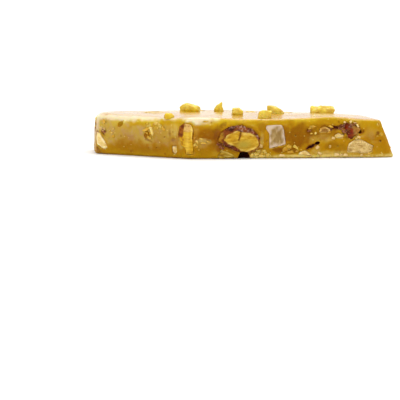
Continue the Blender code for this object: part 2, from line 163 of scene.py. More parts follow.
def outline_stations():
    """The places round the outline where the walls are measured."""
    feet, tops, rims, wanders = [], [], [], []
    for corner, following in zip(CORNERS, CORNERS[1:] + CORNERS[:1]):
        length = (Vector(following.foot) - Vector(corner.foot)).length * MM
        count = max(2, round(length / OUTLINE_STEP))
        for i in range(count):
            share = i / count
            feet.append(point_on(corner, following, share, "foot"))
            tops.append(point_on(corner, following, share, "top"))
            rims.append((corner.rim + (following.rim - corner.rim) * share) * MM)
            wanders.append((corner.wander + (following.wander - corner.wander) * share) * MM)
    for _ in range(ROUNDING_PASSES):
        feet, tops = rounded_loop(feet), rounded_loop(tops)
    stations = []
    for i, foot in enumerate(feet):
        along = feet[(i + 1) % len(feet)] - feet[i - 1]
        inward = Vector((-along.y, along.x)).normalized()
        stations.append(Station(foot, tops[i], top_level(tops[i]), rims[i], wanders[i], inward))
    return stations


def wandering(place):
    """How far the break wanders out at a place, as a share of the most it does there."""
    return noise.noise(Vector((place.x, place.y, place.z * WANDER_UPRIGHT)) / WANDER_LENGTH)


def ripple(place):
    """How far the break stands out at a place, from slow and quick waves."""
    spot = place / RIPPLE_LENGTH
    return RIPPLE_DEPTH * (noise.noise(spot) + 0.5 * noise.noise(spot * 2.3))


def wall_point(station, height, inset):
    """A point of the wall at a height, moved in by inset and in or out by the waves of the break."""
    plan = station.foot.lerp(station.top, height / station.height) + station.inward * inset
    place = Vector((plan.x, plan.y, height))
    out = ripple(place) + station.wander * wandering(place)
    return place - Vector((station.inward.x, station.inward.y, 0)) * out


def rings(stations):
    """The rings of points that make the slab, from its foot up the walls and over the rim to the middle."""
    yield [wall_point(s, 0, FOOT_ROUND) for s in stations]
    for k in range(WALL_RINGS + 1):
        share = k / WALL_RINGS
        yield [wall_point(s, FOOT_ROUND + (s.height - s.rim - FOOT_ROUND) * share, 0) for s in stations]
    edge = []
    for k in range(1, RIM_RINGS + 1):
        angle = math.radians(90) * k / RIM_RINGS
        turned_in, risen = 1 - math.cos(angle), math.sin(angle)
        edge = [wall_point(s, s.height - s.rim * (1 - risen), s.rim * turned_in) for s in stations]
        yield edge
    middle = sum(edge, Vector()) / len(edge)
    for scale in TOP_RINGS:
        ring = [middle.lerp(point, scale) for point in edge]
        yield [Vector((point.x, point.y, top_level(point))) for point in ring]


def new_piece(name, bm):
    """Makes a piece from a bmesh and frees the bmesh."""
    mesh = bpy.data.meshes.new(name)
    bm.to_mesh(mesh)
    bm.free()
    piece = bpy.data.objects.new(name, mesh)
    bpy.context.scene.collection.objects.link(piece)
    return piece


def add_part(bm, part):
    """Adds a bmesh to another one and frees it."""
    mesh = bpy.data.meshes.new("part")
    part.to_mesh(mesh)
    part.free()
    bm.from_mesh(mesh)
    bpy.data.meshes.remove(mesh)


def drawn_out(bm, end, keep):
    """Extrudes a body's end face and returns the new end. The old one stays only where it closes the body."""
    grown = bmesh.ops.extrude_face_region(bm, geom=[end])["geom"]
    if not keep:
        bmesh.ops.delete(bm, geom=[end], context="FACES_ONLY")
    return next(item for item in grown if isinstance(item, bmesh.types.BMFace))


def slab_shell():
    """The poured slab without its nuts, drawn up ring by ring from the outline of its foot."""
    bm = bmesh.new()
    station = bm.verts.layers.int.new("station")
    levels = rings(outline_stations())
    foot = [bm.verts.new(point) for point in next(levels)]
    for i, vertex in enumerate(foot):
        vertex[station] = i
    cap = bm.faces.new(foot)
    for k, ring in enumerate(levels):
        cap = drawn_out(bm, cap, keep=k == 0)
        for vertex in cap.verts:
            vertex.co = ring[vertex[station]]
    bmesh.ops.poke(bm, faces=[cap])
    bm.verts.layers.int.remove(station)
    bmesh.ops.recalc_face_normals(bm, faces=bm.faces)
    return new_piece("toffee", bm)


def settle(piece):
    """Applies the piece's modifiers."""
    graph = bpy.context.evaluated_depsgraph_get()
    made = bpy.data.meshes.new_from_object(piece.evaluated_get(graph))
    piece.modifiers.clear()
    piece.data = made


def remesh(piece, voxel):
    """Gives a piece an even skin of small faces."""
    step = piece.modifiers.new("even skin", "REMESH")
    step.mode = "VOXEL"
    step.voxel_size = voxel
    settle(piece)


def relax(mesh, times):
    """Takes the steps out of a voxel skin."""
    bm = bmesh.new()
    bm.from_mesh(mesh)
    for _ in range(times):
        bmesh.ops.smooth_vert(bm, verts=bm.verts, factor=0.5, use_axis_x=True, use_axis_y=True,
                              use_axis_z=True)
    bm.to_mesh(mesh)
    bm.free()


def places(mesh):
    """Where each vertex is."""
    flat = np.empty(len(mesh.vertices) * 3, np.float32)
    mesh.vertices.foreach_get("co", flat)
    return flat.reshape(-1, 3).astype(float)


def outwards(mesh):
    """The direction out of the surface at each vertex."""
    flat = np.empty(len(mesh.vertices) * 3, np.float32)
    mesh.vertex_normals.foreach_get("vector", flat)
    return flat.reshape(-1, 3).astype(float)


def put(mesh, points):
    """Moves each vertex to its point."""
    mesh.vertices.foreach_set("co", points.astype(np.float32).ravel())
    mesh.update()


def paint(mesh, name, values):
    """Keeps a number for each vertex, which a finish reads by name."""
    layer = mesh.attributes.new(name, "FLOAT", "POINT")
    layer.data.foreach_set("value", np.clip(values, 0, 1).astype(np.float32))


def paint_place(mesh, name, points):
    """Keeps a place for each vertex, which a finish reads by name."""
    layer = mesh.attributes.new(name, "FLOAT_VECTOR", "POINT")
    layer.data.foreach_set("vector", points.astype(np.float32).ravel())


def shell_shift(shell):
    """How far the model was moved to centre it: its slab's left end and far side are the same as here."""
    low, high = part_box("toffee_slab")
    points = places(shell.data)
    return Vector((low.x - points[:, 0].min(), high.y - points[:, 1].max(), 0))


slab = slab_shell()
SHIFT = shell_shift(slab)
slab.data.transform(Matrix.Translation(SHIFT))


def wall_ends(wall):
    """The corners at the left and the right end of a wall."""
    i = [corner.wall for corner in CORNERS].index(wall)
    return CORNERS[i], CORNERS[(i + 1) % len(CORNERS)]


def wall_frame(wall, along, up, straight=False):
    """The place and directions at a spot of a wall: x along it, y up it and z out of it.

    A straight one keeps to the line between the corners, for what spreads over much of a wall.
    """
    start, end = wall_ends(wall)
    ends = []
    for corner in (start, end):
        foot, top = Vector(corner.foot).to_3d() * MM, Vector(corner.top).to_3d() * MM
        top.z = top_level(top)
        ends.append((foot, top))
    (foot, top), (far_foot, far_top) = ends
    near, far = foot.lerp(top, up * MM / top.z), far_foot.lerp(far_top, up * MM / far_top.z)
    x = (far_foot - foot).normalized()
    share = (along * MM - (near - foot).dot(x)) / (far - near).dot(x)
    x = (far - near).normalized()
    z = x.cross(top.lerp(far_top, share) - foot.lerp(far_foot, share)).normalized()
    y = z.cross(x)
    place = near.lerp(far, share)
    if not straight:
        wander = (start.wander + (end.wander - start.wander) * share) * MM
        lean = [(wandering(place + way * LEAN_STEP) - wandering(place - way * LEAN_STEP)) / (2 * LEAN_STEP)
                for way in (x, y)]
        place += z * wander * wandering(place)
        z = (z - (x * lean[0] + y * lean[1]) * wander).normalized()
        x = y.cross(z).normalized()
        y = z.cross(x)
    return Matrix.Translation(place + SHIFT) @ Matrix((x, y, z)).transposed().to_4x4()


def flat_frame(wall, x, y):
    """The place and directions at a spot of the top or the underside, z out of it."""
    place = Vector((x * MM, y * MM, 0))
    if wall == "underside":
        return Matrix.Translation(place + SHIFT) @ Matrix.Rotation(math.pi, 4, "X")
    place.z = top_level(place)
    return Matrix.Translation(place + SHIFT)


def turned(axis, degrees):
    """A turn about an axis."""
    return Matrix.Rotation(math.radians(degrees), 4, axis)


def spot_frame(wall, along, up, turn=0, swing=0):
    """The place and directions at any spot, turned about its z and swung about its y by degrees."""
    if wall in ("top", "underside"):
        spot = flat_frame(wall, along, up)
    else:
        spot = wall_frame(wall, along, up)
    return spot @ turned("Y", swing) @ turned("Z", turn)


def spot_of(row):
    """The place and directions that a table's row gives."""
    return spot_frame(row.wall, row.along, row.up, row.turn)


def local(points, matrix):
    """The points in millimetres in a spot's own directions."""
    back = np.array(matrix.inverted())
    return (points @ back[:3, :3].T + back[:3, 3]) / MM


# The almond pieces: the CAD node, where its cut lies, its turn and swing, and the finish of its flesh.
Nut = namedtuple("Nut", "node wall along up turn swing flesh")
NUTS = [
    Nut("kernel_cut", "front", 15.4, 5.5, 0, 0, "golden"),
    Nut("upright_piece", "front", 0.1, 6.3, 0, -19, "column"),
    Nut("square_piece", "front", 26.1, 6.6, 0, 0, "dusty"),
    Nut("dome_piece", "front", 52.2, 3.3, 0, 0, "streaked"),
    Nut("corner_wedge", "front_left", 3.0, 4.1, 0, 0, "bright"),
    Nut("foot_block", "front", 11.2, 1.75, 0, 0, "soaked"),
    Nut("foot_wedge", "front", 35.0, 1.5, 0, 0, "cream"),
    Nut("arc_piece", "front", 41.0, 8.5, 0, 0, "thin"),
    Nut("sliver_piece", "front", 45.6, 6.6, 0, 0, "cream"),
    Nut("skin_heap", "front", 48.9, 8.2, 0, 0, "skin"),
    Nut("splinter_piece", "front_left", 30.4, 2.4, 0, 0, "cream"),
    Nut("right_half", "right", 8.6, 5.6, 12, 0, "cream"),
    Nut("right_bit", "right", 16.4, 3.4, -10, 0, "soaked"),
    Nut("back_right_kernel", "back_right", 8.6, 5.8, -20, 0, "golden"),
    Nut("back_right_bit", "back_right", 20.6, 6.2, 15, 0, "dusty"),
    Nut("back_slice", "back", 6.4, 4.6, 24, 0, "cream"),
    Nut("back_block", "back", 16.6, 6.6, -8, 0, "dusty"),
    Nut("back_half", "back", 24.6, 4.2, -14, 0, "golden"),
    Nut("back_left_kernel", "back_left", 8.0, 5.6, 10, 0, "golden"),
    Nut("back_left_bit", "back_left", 21.6, 5.4, 0, 0, "cream"),
    Nut("left_back_half", "left_back", 7.0, 5.2, -12, 0, "cream"),
    Nut("left_back_bit", "left_back", 15.6, 4.2, 30, 0, "soaked"),
    Nut("top_flake", "top", -26.0, -4.0, 25, 0, "streaked"),
    Nut("top_square", "top", 6.0, 8.0, -30, 0, "cream"),
    Nut("top_half", "top", 19.5, 10.5, 60, 0, "streaked"),
    Nut("top_bit", "top", -12.0, 17.5, 10, 0, "cream"),
    Nut("underside_half", "underside", -20.0, 2.0, 40, 0, "soaked"),
    Nut("underside_bit", "underside", 14.0, 3.0, -20, 0, "cream"),
]
# The material slot of each flesh that is no plain almond.
SLOTS = {"golden": "golden_almond", "column": "golden_almond", "skin": "almond_skin"}
# The nuts whose skin stains the toffee round them.
SKINNED_NUTS = ["kernel_cut", "skin_heap", "arc_piece", "back_right_kernel", "back_left_kernel"]

# The direction of the rays that tell inside from outside, and how far past a crossing each goes on.
RAY = Vector((0.36, 0.48, 0.80))
RAY_STEP = 0.002 * MM


def nut_tree(nodes):
    """The solids of some nuts as one body to measure distances to."""
    points, faces = [], []
    for node in nodes:
        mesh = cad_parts[node].data
        first = len(points)
        points += [v.co.copy() for v in mesh.vertices]
        faces += [[first + i for i in face.vertices] for face in mesh.polygons]
    return BVHTree.FromPolygons(points, faces)


def enclosed(tree, point):
    """Whether a point lies in a closed body: a ray from it then crosses the skin an odd number of times."""
    crossings = 0
    hit = tree.ray_cast(point, RAY)[0]
    while hit is not None:
        crossings += 1
        hit = tree.ray_cast(hit + RAY * RAY_STEP, RAY)[0]
    return crossings % 2 == 1


def distances(tree, points, reach):
    """How far each point is from a body, below 0 inside it, and reach where it is further than that."""
    found = np.full(len(points), reach)
    for i, point in enumerate(points.tolist()):
        distance = tree.find_nearest(Vector(point), reach)[3]
        if distance is not None:
            found[i] = -distance if enclosed(tree, Vector(point)) else distance
    return found


def on_walls(kind, *groups):
    """The rows of a table in which each group gives its wall once."""
    return [kind(wall, *row) for wall, rows in groups for row in rows]


# Patches of another tone on the walls: where they are, then their width, height and turn, and how strong.
Patch = namedtuple("Patch", "wall along up width height turn strength")
PALE_PATCHES = on_walls(
    Patch,
    ("front", [
        (40.2, 6.0, 10.0, 2.8, 4, 0.16), (42.6, 5.6, 4.0, 1.6, 6, 0.28), (38.6, 2.5, 3.4, 2.4, 20, 0.28),
        (20.8, 1.3, 6.4, 2.8, 0, 0.32), (4.8, 5.2, 4.4, 1.6, -10, 0.38), (37.4, 9.3, 2.2, 1.0, 0, 0.45),
        (51.2, 6.2, 1.6, 1.2, 0, 0.55), (50.8, 9.8, 1.6, 1.0, 0, 0.5), (44.0, 1.6, 16.0, 1.4, 0, 0.35),
        (57.7, 10.0, 0.8, 1.0, 0, 0.9), (42.8, 3.4, 0.7, 0.7, 0, 0.9), (21.8, 3.7, 1.0, 0.8, 0, 1.0),
        (58.6, 7.0, 1.4, 0.8, -30, 0.5),
    ]),
    ("front_left", [
        (4.0, 10.4, 1.0, 1.3, 20, 0.9), (7.5, 5.9, 1.0, 0.8, 0, 0.8), (2.9, 8.2, 2.2, 1.4, -30, 0.8),
        (23.8, 10.2, 2.4, 1.2, 0, 0.6), (21.0, 9.7, 3.0, 1.2, 10, 0.5), (25.1, 9.4, 1.6, 1.0, 0, 0.55),
        # (11.8, 10.6) is the bright rim at the upper right of the bubble hollow: a painted highlight.
        (11.8, 10.6, 1.8, 0.8, 30, 0.95), (20.6, 5.8, 3.4, 0.8, -15, 0.7), (30.0, 8.4, 4.4, 4.4, 0, 0.30),
        (32.4, 4.6, 2.0, 5.0, 0, 0.30),
    ]),
)
DEEP_PATCHES = on_walls(
    Patch,
    ("front", [
        (6.2, 7.4, 7.6, 4.6, 10, 0.54), (8.8, 4.0, 4.4, 3.2, 0, 0.5), (21.9, 9.2, 3.4, 2.6, 0, 0.45),
        (26.6, 2.5, 5.2, 1.8, 0, 0.9), (32.4, 6.4, 11.0, 9.0, 0, 0.78), (31.2, 2.5, 5.4, 2.4, -6, 0.8),
        (43.4, 3.6, 5.4, 2.4, 0, 0.45), (17.0, 1.8, 5.0, 3.0, 0, 0.7), (55.0, 5.8, 4.0, 2.6, 0, 0.25),
        (41.0, 7.6, 9.0, 5.0, 0, 0.50), (46.5, 3.0, 8.0, 3.4, 0, 0.30),
    ]),
    ("front_left", [
        (29.7, 5.5, 1.4, 1.2, 0, 0.8), (20.0, 2.2, 16.0, 2.8, 0, 0.28), (10.3, 9.6, 2.3, 1.4, 28, 0.32),
        (14.0, 2.6, 22.0, 4.4, 0, 0.20),
    ]),
)
STAIN_PATCHES = on_walls(
    Patch,
    ("front", [
        (8.7, 6.8, 3.2, 4.8, 0, 0.55), (9.9, 9.6, 4.2, 1.6, 32, 0.6), (21.2, 2.6, 2.8, 1.2, 20, 0.6),
        (9.0, 2.9, 1.8, 2.2, 0, 0.5), (44.2, 9.0, 4.4, 1.7, -3, 0.95), (36.6, 8.0, 2.4, 2.2, 0, 0.75),
        (38.4, 7.1, 2.4, 0.9, 0, 0.6), (37.6, 8.9, 4.4, 3.0, 0, 0.35), (52.1, 7.9, 2.2, 1.6, 0, 0.8),
        (37.0, 3.5, 5.6, 1.3, 22, 0.95), (35.5, 2.8, 1.3, 1.0, 0, 1.0), (57.5, 7.4, 1.1, 1.1, 0, 0.75),
        (58.2, 5.0, 1.0, 0.9, 0, 0.7), (48.4, 5.9, 3.6, 0.9, -10, 0.5),
    ]),
    ("front_left", [
        (3.6, 6.5, 3.0, 1.1, -42, 0.95), (1.6, 1.1, 3.4, 2.2, 0, 0.75), (20.9, 5.0, 3.2, 0.6, -15, 0.7),
        (28.6, 7.4, 0.9, 3.4, 0, 0.5),
    ]),
)
# A painted highlight along the rounded upper edges and down the left corner, and a painted grey sheen with
# fine scratches.
HIGHLIGHT_PATCHES = on_walls(
    Patch,
    ("front_left", [(17.0, 12.4, 40.0, 3.4, 1, 0.75), (0.8, 9.4, 2.6, 7.0, 0, 0.72)]),
    ("front", [(3.2, 11.7, 12.0, 3.2, 0, 0.92)]),
    ("left", [(8.0, 12.6, 18.0, 2.6, 0, 0.7), (14.6, 8.0, 3.0, 9.0, 0, 0.55)]),
)
SHEEN_PATCHES = on_walls(
    Patch,
    ("front_left", [
        (8.0, 8.2, 20.0, 9.0, 0, 0.70), (18.0, 6.8, 44.0, 7.0, 0, 0.45), (18.0, 6.8, 13.0, 6.0, -15, 0.80),
        (20.0, 4.9, 5.4, 2.0, -20, 0.9), (26.0, 7.0, 9.0, 7.0, 0, 0.60),
    ]),
    ("front", [
        (3.4, 4.6, 6.0, 3.4, 0, 0.4), (21.9, 5.6, 1.2, 5.0, 0, 0.6), (55.4, 7.4, 4.0, 4.0, 0, 0.35),
    ]),
)
# Patches wider than this, in millimetres, keep to the line between the corners and reach deeper.
WIDE_PATCH = 12
PATCH_DEPTH, WIDE_PATCH_DEPTH = 2.5, 5.0

GUESSED_WALLS = ["right", "back_right", "back", "back_left", "left_back", "left"]
# How many patches a centimetre those walls get, and from which seed.
GUESSED_PATCHES = {"pale": (0.9, 21), "deep": (1.8, 22), "stain_and_shade": (0.8, 23), "dust": (0.8, 24)}
GUESSED_PALENESS = 0.65


def wall_size(wall):
    """A wall's length and height in millimetres."""
    start, end = wall_ends(wall)
    return (Vector(end.foot) - Vector(start.foot)).length, THICKNESS / MM


def guessed_patches(kind):
    """Patches of the same kind for the walls that don't show."""
    per_centimetre, seed = GUESSED_PATCHES[kind]
    draw = random.Random(seed)
    made = []
    for wall in GUESSED_WALLS:
        length, height = wall_size(wall)
        for _ in range(round(length / 10 * per_centimetre)):
            made.append(Patch(wall, draw.uniform(1.5, length - 1.5), draw.uniform(1, height - 2.5),
                              draw.uniform(2, 7), draw.uniform(1.4, 4), draw.uniform(-25, 25),
                              draw.uniform(0.4, 0.9)))
    return made


def patch_strength(points, patches, layer):
    """The strongest patch at each point, with ragged edges."""
    ragged = rough(points, 2.0 * MM, 3, layer)
    strength = np.zeros(len(points))
    for patch in patches:
        if patch.width > WIDE_PATCH:
            middle = wall_frame(patch.wall, patch.along, patch.up, straight=True) @ turned("Z", patch.turn)
            depth = WIDE_PATCH_DEPTH
        else:
            middle, depth = spot_of(patch), PATCH_DEPTH
        spot = local(points, middle)
        out = np.sqrt((spot[:, 0] / patch.width * 2) ** 2 + (spot[:, 1] / patch.height * 2) ** 2
                      + (spot[:, 2] / depth) ** 2)
        strength = np.maximum(strength, patch.strength * smooth(1.2, 0.5, out + 0.45 * ragged))
    return strength


# Round hollows of burst bubbles and lost crumbs: wall, along and up it, width, height, depth, turn, and how
# dark they are painted inside, as painted shade.
Hollow = namedtuple("Hollow", "wall along up width height depth turn dark")
HOLLOWS = on_walls(
    Hollow,
    ("front", [
        (16.6, 0.2, 3.8, 4.2, 3.4, 0, 1.0), (51.9, 7.8, 1.2, 1.2, 1.1, 0, 0.85),
        (38.9, 4.45, 1.6, 1.0, 1.3, 12, 1.0), (36.7, 3.4, 3.0, 0.5, 0.5, 25, 0.9),
    ]),
    ("front_left", [(10.3, 9.7, 2.7, 1.5, 0.75, 28, 0.0), (20.2, 6.6, 2.4, 2.8, 0.5, -20, 0.1)]),
    ("front", [
        (57.1, 6.6, 0.6, 0.6, 0.4, 0, 0.6), (58.3, 5.0, 0.6, 0.5, 0.3, 0, 0.5),
        (32.1, 6.8, 0.4, 0.4, 0.3, 0, 0.3), (45.2, 3.5, 0.4, 0.4, 0.3, 0, 0.3),
    ]),
    ("right", [(15.5, 8.0, 1.4, 1.3, 1.2, 0, 0.5)]),
    ("back_right", [(14.0, 9.0, 1.3, 1.3, 1.2, 0, 0.4), (16.0, 0.3, 4.2, 2.6, 2.0, 0, 0.5)]),
    ("back", [(10.5, 9.4, 1.4, 1.2, 1.2, 0, 0.5)]),
    ("back_left", [(15.0, 8.8, 1.5, 1.4, 1.3, 0, 0.3), (5.0, 11.7, 3.6, 1.6, 1.0, 0, 0.2)]),
    ("left_back", [(14.6, 8.6, 1.6, 1.1, 1.2, 15, 0.5)]),
)


# Small burst bubbles: how many, their least and most size in millimetres, and how far apart they keep.
PINHOLES = 70
PINHOLE_SIZE = (0.35, 0.75)
PINHOLE_GAP = 3.0 * MM


def pinholes():
    """Small burst bubbles all round, on the top and underneath, no two of them close together."""
    draw = random.Random(4)
    made = []
    centres = [spot_of(row).translation for row in HOLLOWS + NUTS]
    while len(made) < PINHOLES:
        wall = draw.choice([corner.wall for corner in CORNERS] + ["top", "top", "underside", "underside"])
        if wall in ("top", "underside"):
            along, up = draw.uniform(-36, 34), draw.uniform(-18, 14)
        else:
            length, height = wall_size(wall)
            along, up = draw.uniform(1.5, length - 1.5), draw.uniform(1, height - 2)
        size = draw.uniform(*PINHOLE_SIZE)
        place = spot_frame(wall, along, up).translation
        if all((place - other).length > PINHOLE_GAP for other in centres):
            centres.append(place)
            made.append(Hollow(wall, along, up, size, size * draw.uniform(0.8, 1), size * 0.5, 0, 0))
    return made


def hollow_cutter(hollows):
    """Slightly uneven balls, which leave the hollows. No two of one cutter may overlap."""
    bm = bmesh.new()
    for hollow in hollows:
        fine = 3 if hollow.width > 1 else 2
        ball = bmesh.ops.create_icosphere(bm, subdivisions=fine, radius=0.5)["verts"]
        for vertex in ball:
            vertex.co *= 1 + 0.22 * noise.noise(vertex.co * 3 + Vector((hollow.along, hollow.up, 0)))
        size = Matrix.Diagonal((hollow.width * MM, hollow.height * MM, 2 * hollow.depth * MM, 1))
        bmesh.ops.transform(bm, matrix=spot_of(hollow) @ size, verts=ball)
    return new_piece("hollows", bm)


def cut(piece, cutter):
    """Cuts a piece with another and removes that one."""
    step = piece.modifiers.new("cut", "BOOLEAN")
    step.operation = "DIFFERENCE"
    step.object = cutter
    step.solver = "EXACT"
    settle(piece)
    bpy.data.objects.remove(cutter)


# The pale lip of thin toffee along the long face's foot, in millimetres along and up it.
LIP_FROM, LIP_TO = 18.0, 63.0
LIP_MIDDLE = (40.0, 1.0)
LIP_HEIGHT = 0.75
LIP_SWELL = 0.22 * MM


def lip_share(points, level):
    """How much each point belongs to the lip, at a height in millimetres."""
    spot = local(points, wall_frame("front", *LIP_MIDDLE, straight=True))
    along, up, out = spot[:, 0] + LIP_MIDDLE[0], spot[:, 1] + LIP_MIDDLE[1], spot[:, 2]
    inside = smooth(LIP_FROM - 0.8, LIP_FROM + 0.8, along) * smooth(LIP_TO + 1, LIP_TO - 1, along)
    top = level + 0.35 * waves(points, 2.6 * MM, 3)
    return inside * smooth(top + 0.35, top - 0.15, up) * smooth(-2.0, -1.2, out)


def upright(out):
    """1 where the surface stands upright, as the walls do, and 0 where it lies flat."""
    return smooth(0.80, 0.45, np.abs(out[:, 2]))


def shape_slab(tree):
    """The slab's fine form: the grain of the break, the poured top, and the toffee's fit round each nut."""
    remesh(slab, SLAB_VOXEL)
    relax(slab.data, SLAB_RELAX)
    mesh = slab.data
    at, out = places(mesh), outwards(mesh)
    wall = upright(out)
    top = smooth(0.55, 0.85, out[:, 2])
    low_part = smooth(2.0 * MM, 0.4 * MM, at[:, 2])
    shift = wall * MM * (0.10 * rough(at, 4.0 * MM, 3) + 0.05 * ridges(at, 2.4 * MM, 2, 5) - 0.03)
    shift += wall * low_part * MM * 0.10 * rough(at, 1.6 * MM, 2, 7)
    shift += top * MM * (0.05 * rough(at, 9 * MM, 2, 2) + 0.012 * waves(at, 1.3 * MM, 4))
    shift += LIP_SWELL * lip_share(at, LIP_HEIGHT)
    gap = distances(tree, at - out * PROBE_DEPTH, NUT_REACH)
    ragged = gap + MM * (0.20 * waves(at, 1.5 * MM, 12) + 0.08 * waves(at, 0.7 * MM, 14))
    sunk = smooth(-0.12 * MM, -0.42 * MM, ragged)
    climb = LEAST_CLIMB + (MOST_CLIMB - LEAST_CLIMB) * smooth(-0.45, 0.45, waves(at, 3.2 * MM, 15))
    shift += climb * smooth(CLIMB_REACH, 0.0, gap) * (1 - sunk) * wall
    shift -= UNDER_NUT * sunk
    moved = at + out * shift[:, None]
    moved[:, 2] = np.maximum(moved[:, 2], 0)
    put(mesh, moved)
    for group in (HOLLOWS[::2], HOLLOWS[1::2], pinholes()):
        cut(slab, hollow_cutter(group))


def paint_slab(tree):
    """Where the toffee is pale, deep and stained by skin, with painted shade in its hollows, a painted
    highlight along its upper edges and a painted grey sheen on its walls, for its finish.
    """
    mesh = slab.data
    at, out = places(mesh), outwards(mesh)
    wall = upright(out)
    pale = patch_strength(at, PALE_PATCHES, 1)
    pale = np.maximum(pale, GUESSED_PALENESS * patch_strength(at, guessed_patches("pale"), 17))
    pale = np.maximum(pale, 0.85 * lip_share(at, LIP_HEIGHT + 0.1) * smooth(-0.95, -0.5, out[:, 2]))
    # The rounded upper edges, which face partly up, are painted paler: a painted highlight along the top
    # edges.
    edge_highlight = smooth(0.25, 0.6, out[:, 2]) * smooth(0.95, 0.7, out[:, 2])
    pale = np.maximum(pale, 0.45 * edge_highlight)
    stain_and_shade = patch_strength(at, STAIN_PATCHES + guessed_patches("stain_and_shade"), 8)
    stained = smooth(-0.25, 0.45, waves(at, 2.6 * MM, 13))
    stain_and_shade = np.maximum(stain_and_shade, 0.75 * stained * smooth(1.1 * MM, 0.1 * MM, distances(tree, at, NUT_REACH)))
    hole, dark = np.zeros(len(at)), np.zeros(len(at))
    for hollow in HOLLOWS:
        spot = local(at, spot_of(hollow))
        size = np.array([hollow.width / 2, hollow.height / 2, hollow.depth])
        near = np.sqrt(((spot / size) ** 2).sum(axis=1))
        # Inside each hollow, shade is painted by its dark value and kept with the skin stains.
        inner = smooth(1.45, 1.0, near) * smooth(0.05, -0.25, spot[:, 2])
        hole = np.maximum(hole, inner)
        dark = np.maximum(dark, inner * hollow.dark)
    paint(mesh, "pale", pale * (1 - hole))
    paint(mesh, "deep", patch_strength(at, DEEP_PATCHES + guessed_patches("deep"), 9))
    # The skin stains, with the painted shade of the hollows.
    paint(mesh, "stain_and_shade", np.maximum(stain_and_shade, dark))
    # A painted highlight where the surface faces up and outwards, weaker on the flat top.
    on_edge = smooth(-0.2, 0.2, out[:, 2]) * (1 - 0.65 * smooth(0.90, 0.995, out[:, 2]))
    paint(mesh, "painted_highlight", patch_strength(at, HIGHLIGHT_PATCHES, 16) * on_edge)
    # A painted grey sheen on the walls, with fine scratches; the toffee is also rougher there.
    dust = patch_strength(at, SHEEN_PATCHES + guessed_patches("dust"), 6)
    paint(mesh, "dust", dust * wall * (1 - hole))
    paint(mesh, "broken", wall)


# The kernel's flesh inside its skin and the crack between its halves, in millimetres from its cut's middle,
# and the golden hollow under the arc.
KERNEL_FLESH = [
    (-4.9, 0.1), (-3.9, 1.3), (-2.1, 2.3), (-0.8, 2.7), (0.2, 2.2), (1.0, 2.3), (3.1, 2.0), (4.4, 1.2),
    (5.3, -0.1), (5.6, -1.0), (5.3, -2.1), (3.5, -2.9), (1.9, -3.4), (0.1, -3.0), (-1.3, -1.9), (-3.7, -1.1),
]
KERNEL_CRACK = [(0.35, 2.9), (0.05, 1.4), (-0.4, 0.1)]
KERNEL_SIZE = np.array([12.6, 8.0])
ARC_HOLLOW = [(-1.2, -0.9), (-0.8, 0.0), (0.0, 0.3), (1.0, 0.0), (1.3, -0.8)]


def to_line(points, line):
    """The distance of each point to a broken line, all in two directions."""
    nearest = np.full(len(points), np.inf)
    for start, end in zip(line, line[1:]):
        a, b = np.array(start), np.array(end)
        share = np.clip(((points - a) @ (b - a)) / ((b - a) @ (b - a)), 0, 1)
        nearest = np.minimum(nearest, np.linalg.norm(points - (a + share[:, None] * (b - a)), axis=1))
    return nearest


def outside(points, outline):
    """The distance to a closed outline, below 0 inside it."""
    loop = outline + outline[:1]
    crossed = np.zeros(len(points), bool)
    for (ax, ay), (bx, by) in zip(loop, loop[1:]):
        between = (points[:, 1] < ay) != (points[:, 1] < by)
        if ay != by:
            crossed ^= between & (points[:, 0] < (bx - ax) * (points[:, 1] - ay) / (by - ay) + ax)
    return np.where(crossed, -1, 1) * to_line(points, loop)


def merged_copy(node, name):
    """A copy of a CAD node as one closed skin."""
    bm = bmesh.new()
    bm.from_mesh(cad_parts[node].data)
    bmesh.ops.remove_doubles(bm, verts=bm.verts, dist=0.001 * MM)
    return new_piece(name, bm)


def rim_distance(at, facing):
    """How far each point is from the cut's edge, in millimetres."""
    rim = np.flatnonzero((facing > 0.35) & (facing < 0.8))
    tree = KDTree(len(rim))
    for k, i in enumerate(rim):
        tree.insert(at[i], k)
    tree.balance()
    return np.array([tree.find(point)[2] for point in at]) / MM


def facets(spot, planes, slope, seed):
    """Flat breaks: the lowest of a few tilted planes at each point, in millimetres."""
    draw = random.Random(seed)
    half = np.abs(spot[:, :2]).max(axis=0)
    lowest = np.full(len(spot), np.inf)
    for k in range(planes):
        turn = math.tau * (k + draw.uniform(-0.35, 0.35)) / planes
        lean = (spot[:, :2] / half) @ np.array([math.cos(turn), math.sin(turn)])
        lowest = np.minimum(lowest, slope * draw.uniform(0.35, 1.0) * (draw.uniform(0.1, 0.7) - lean))
    return lowest


def around(values, middle, width):
    """1 at the middle, and less with the distance from it."""
    return np.exp(-((values - middle) / width) ** 2)


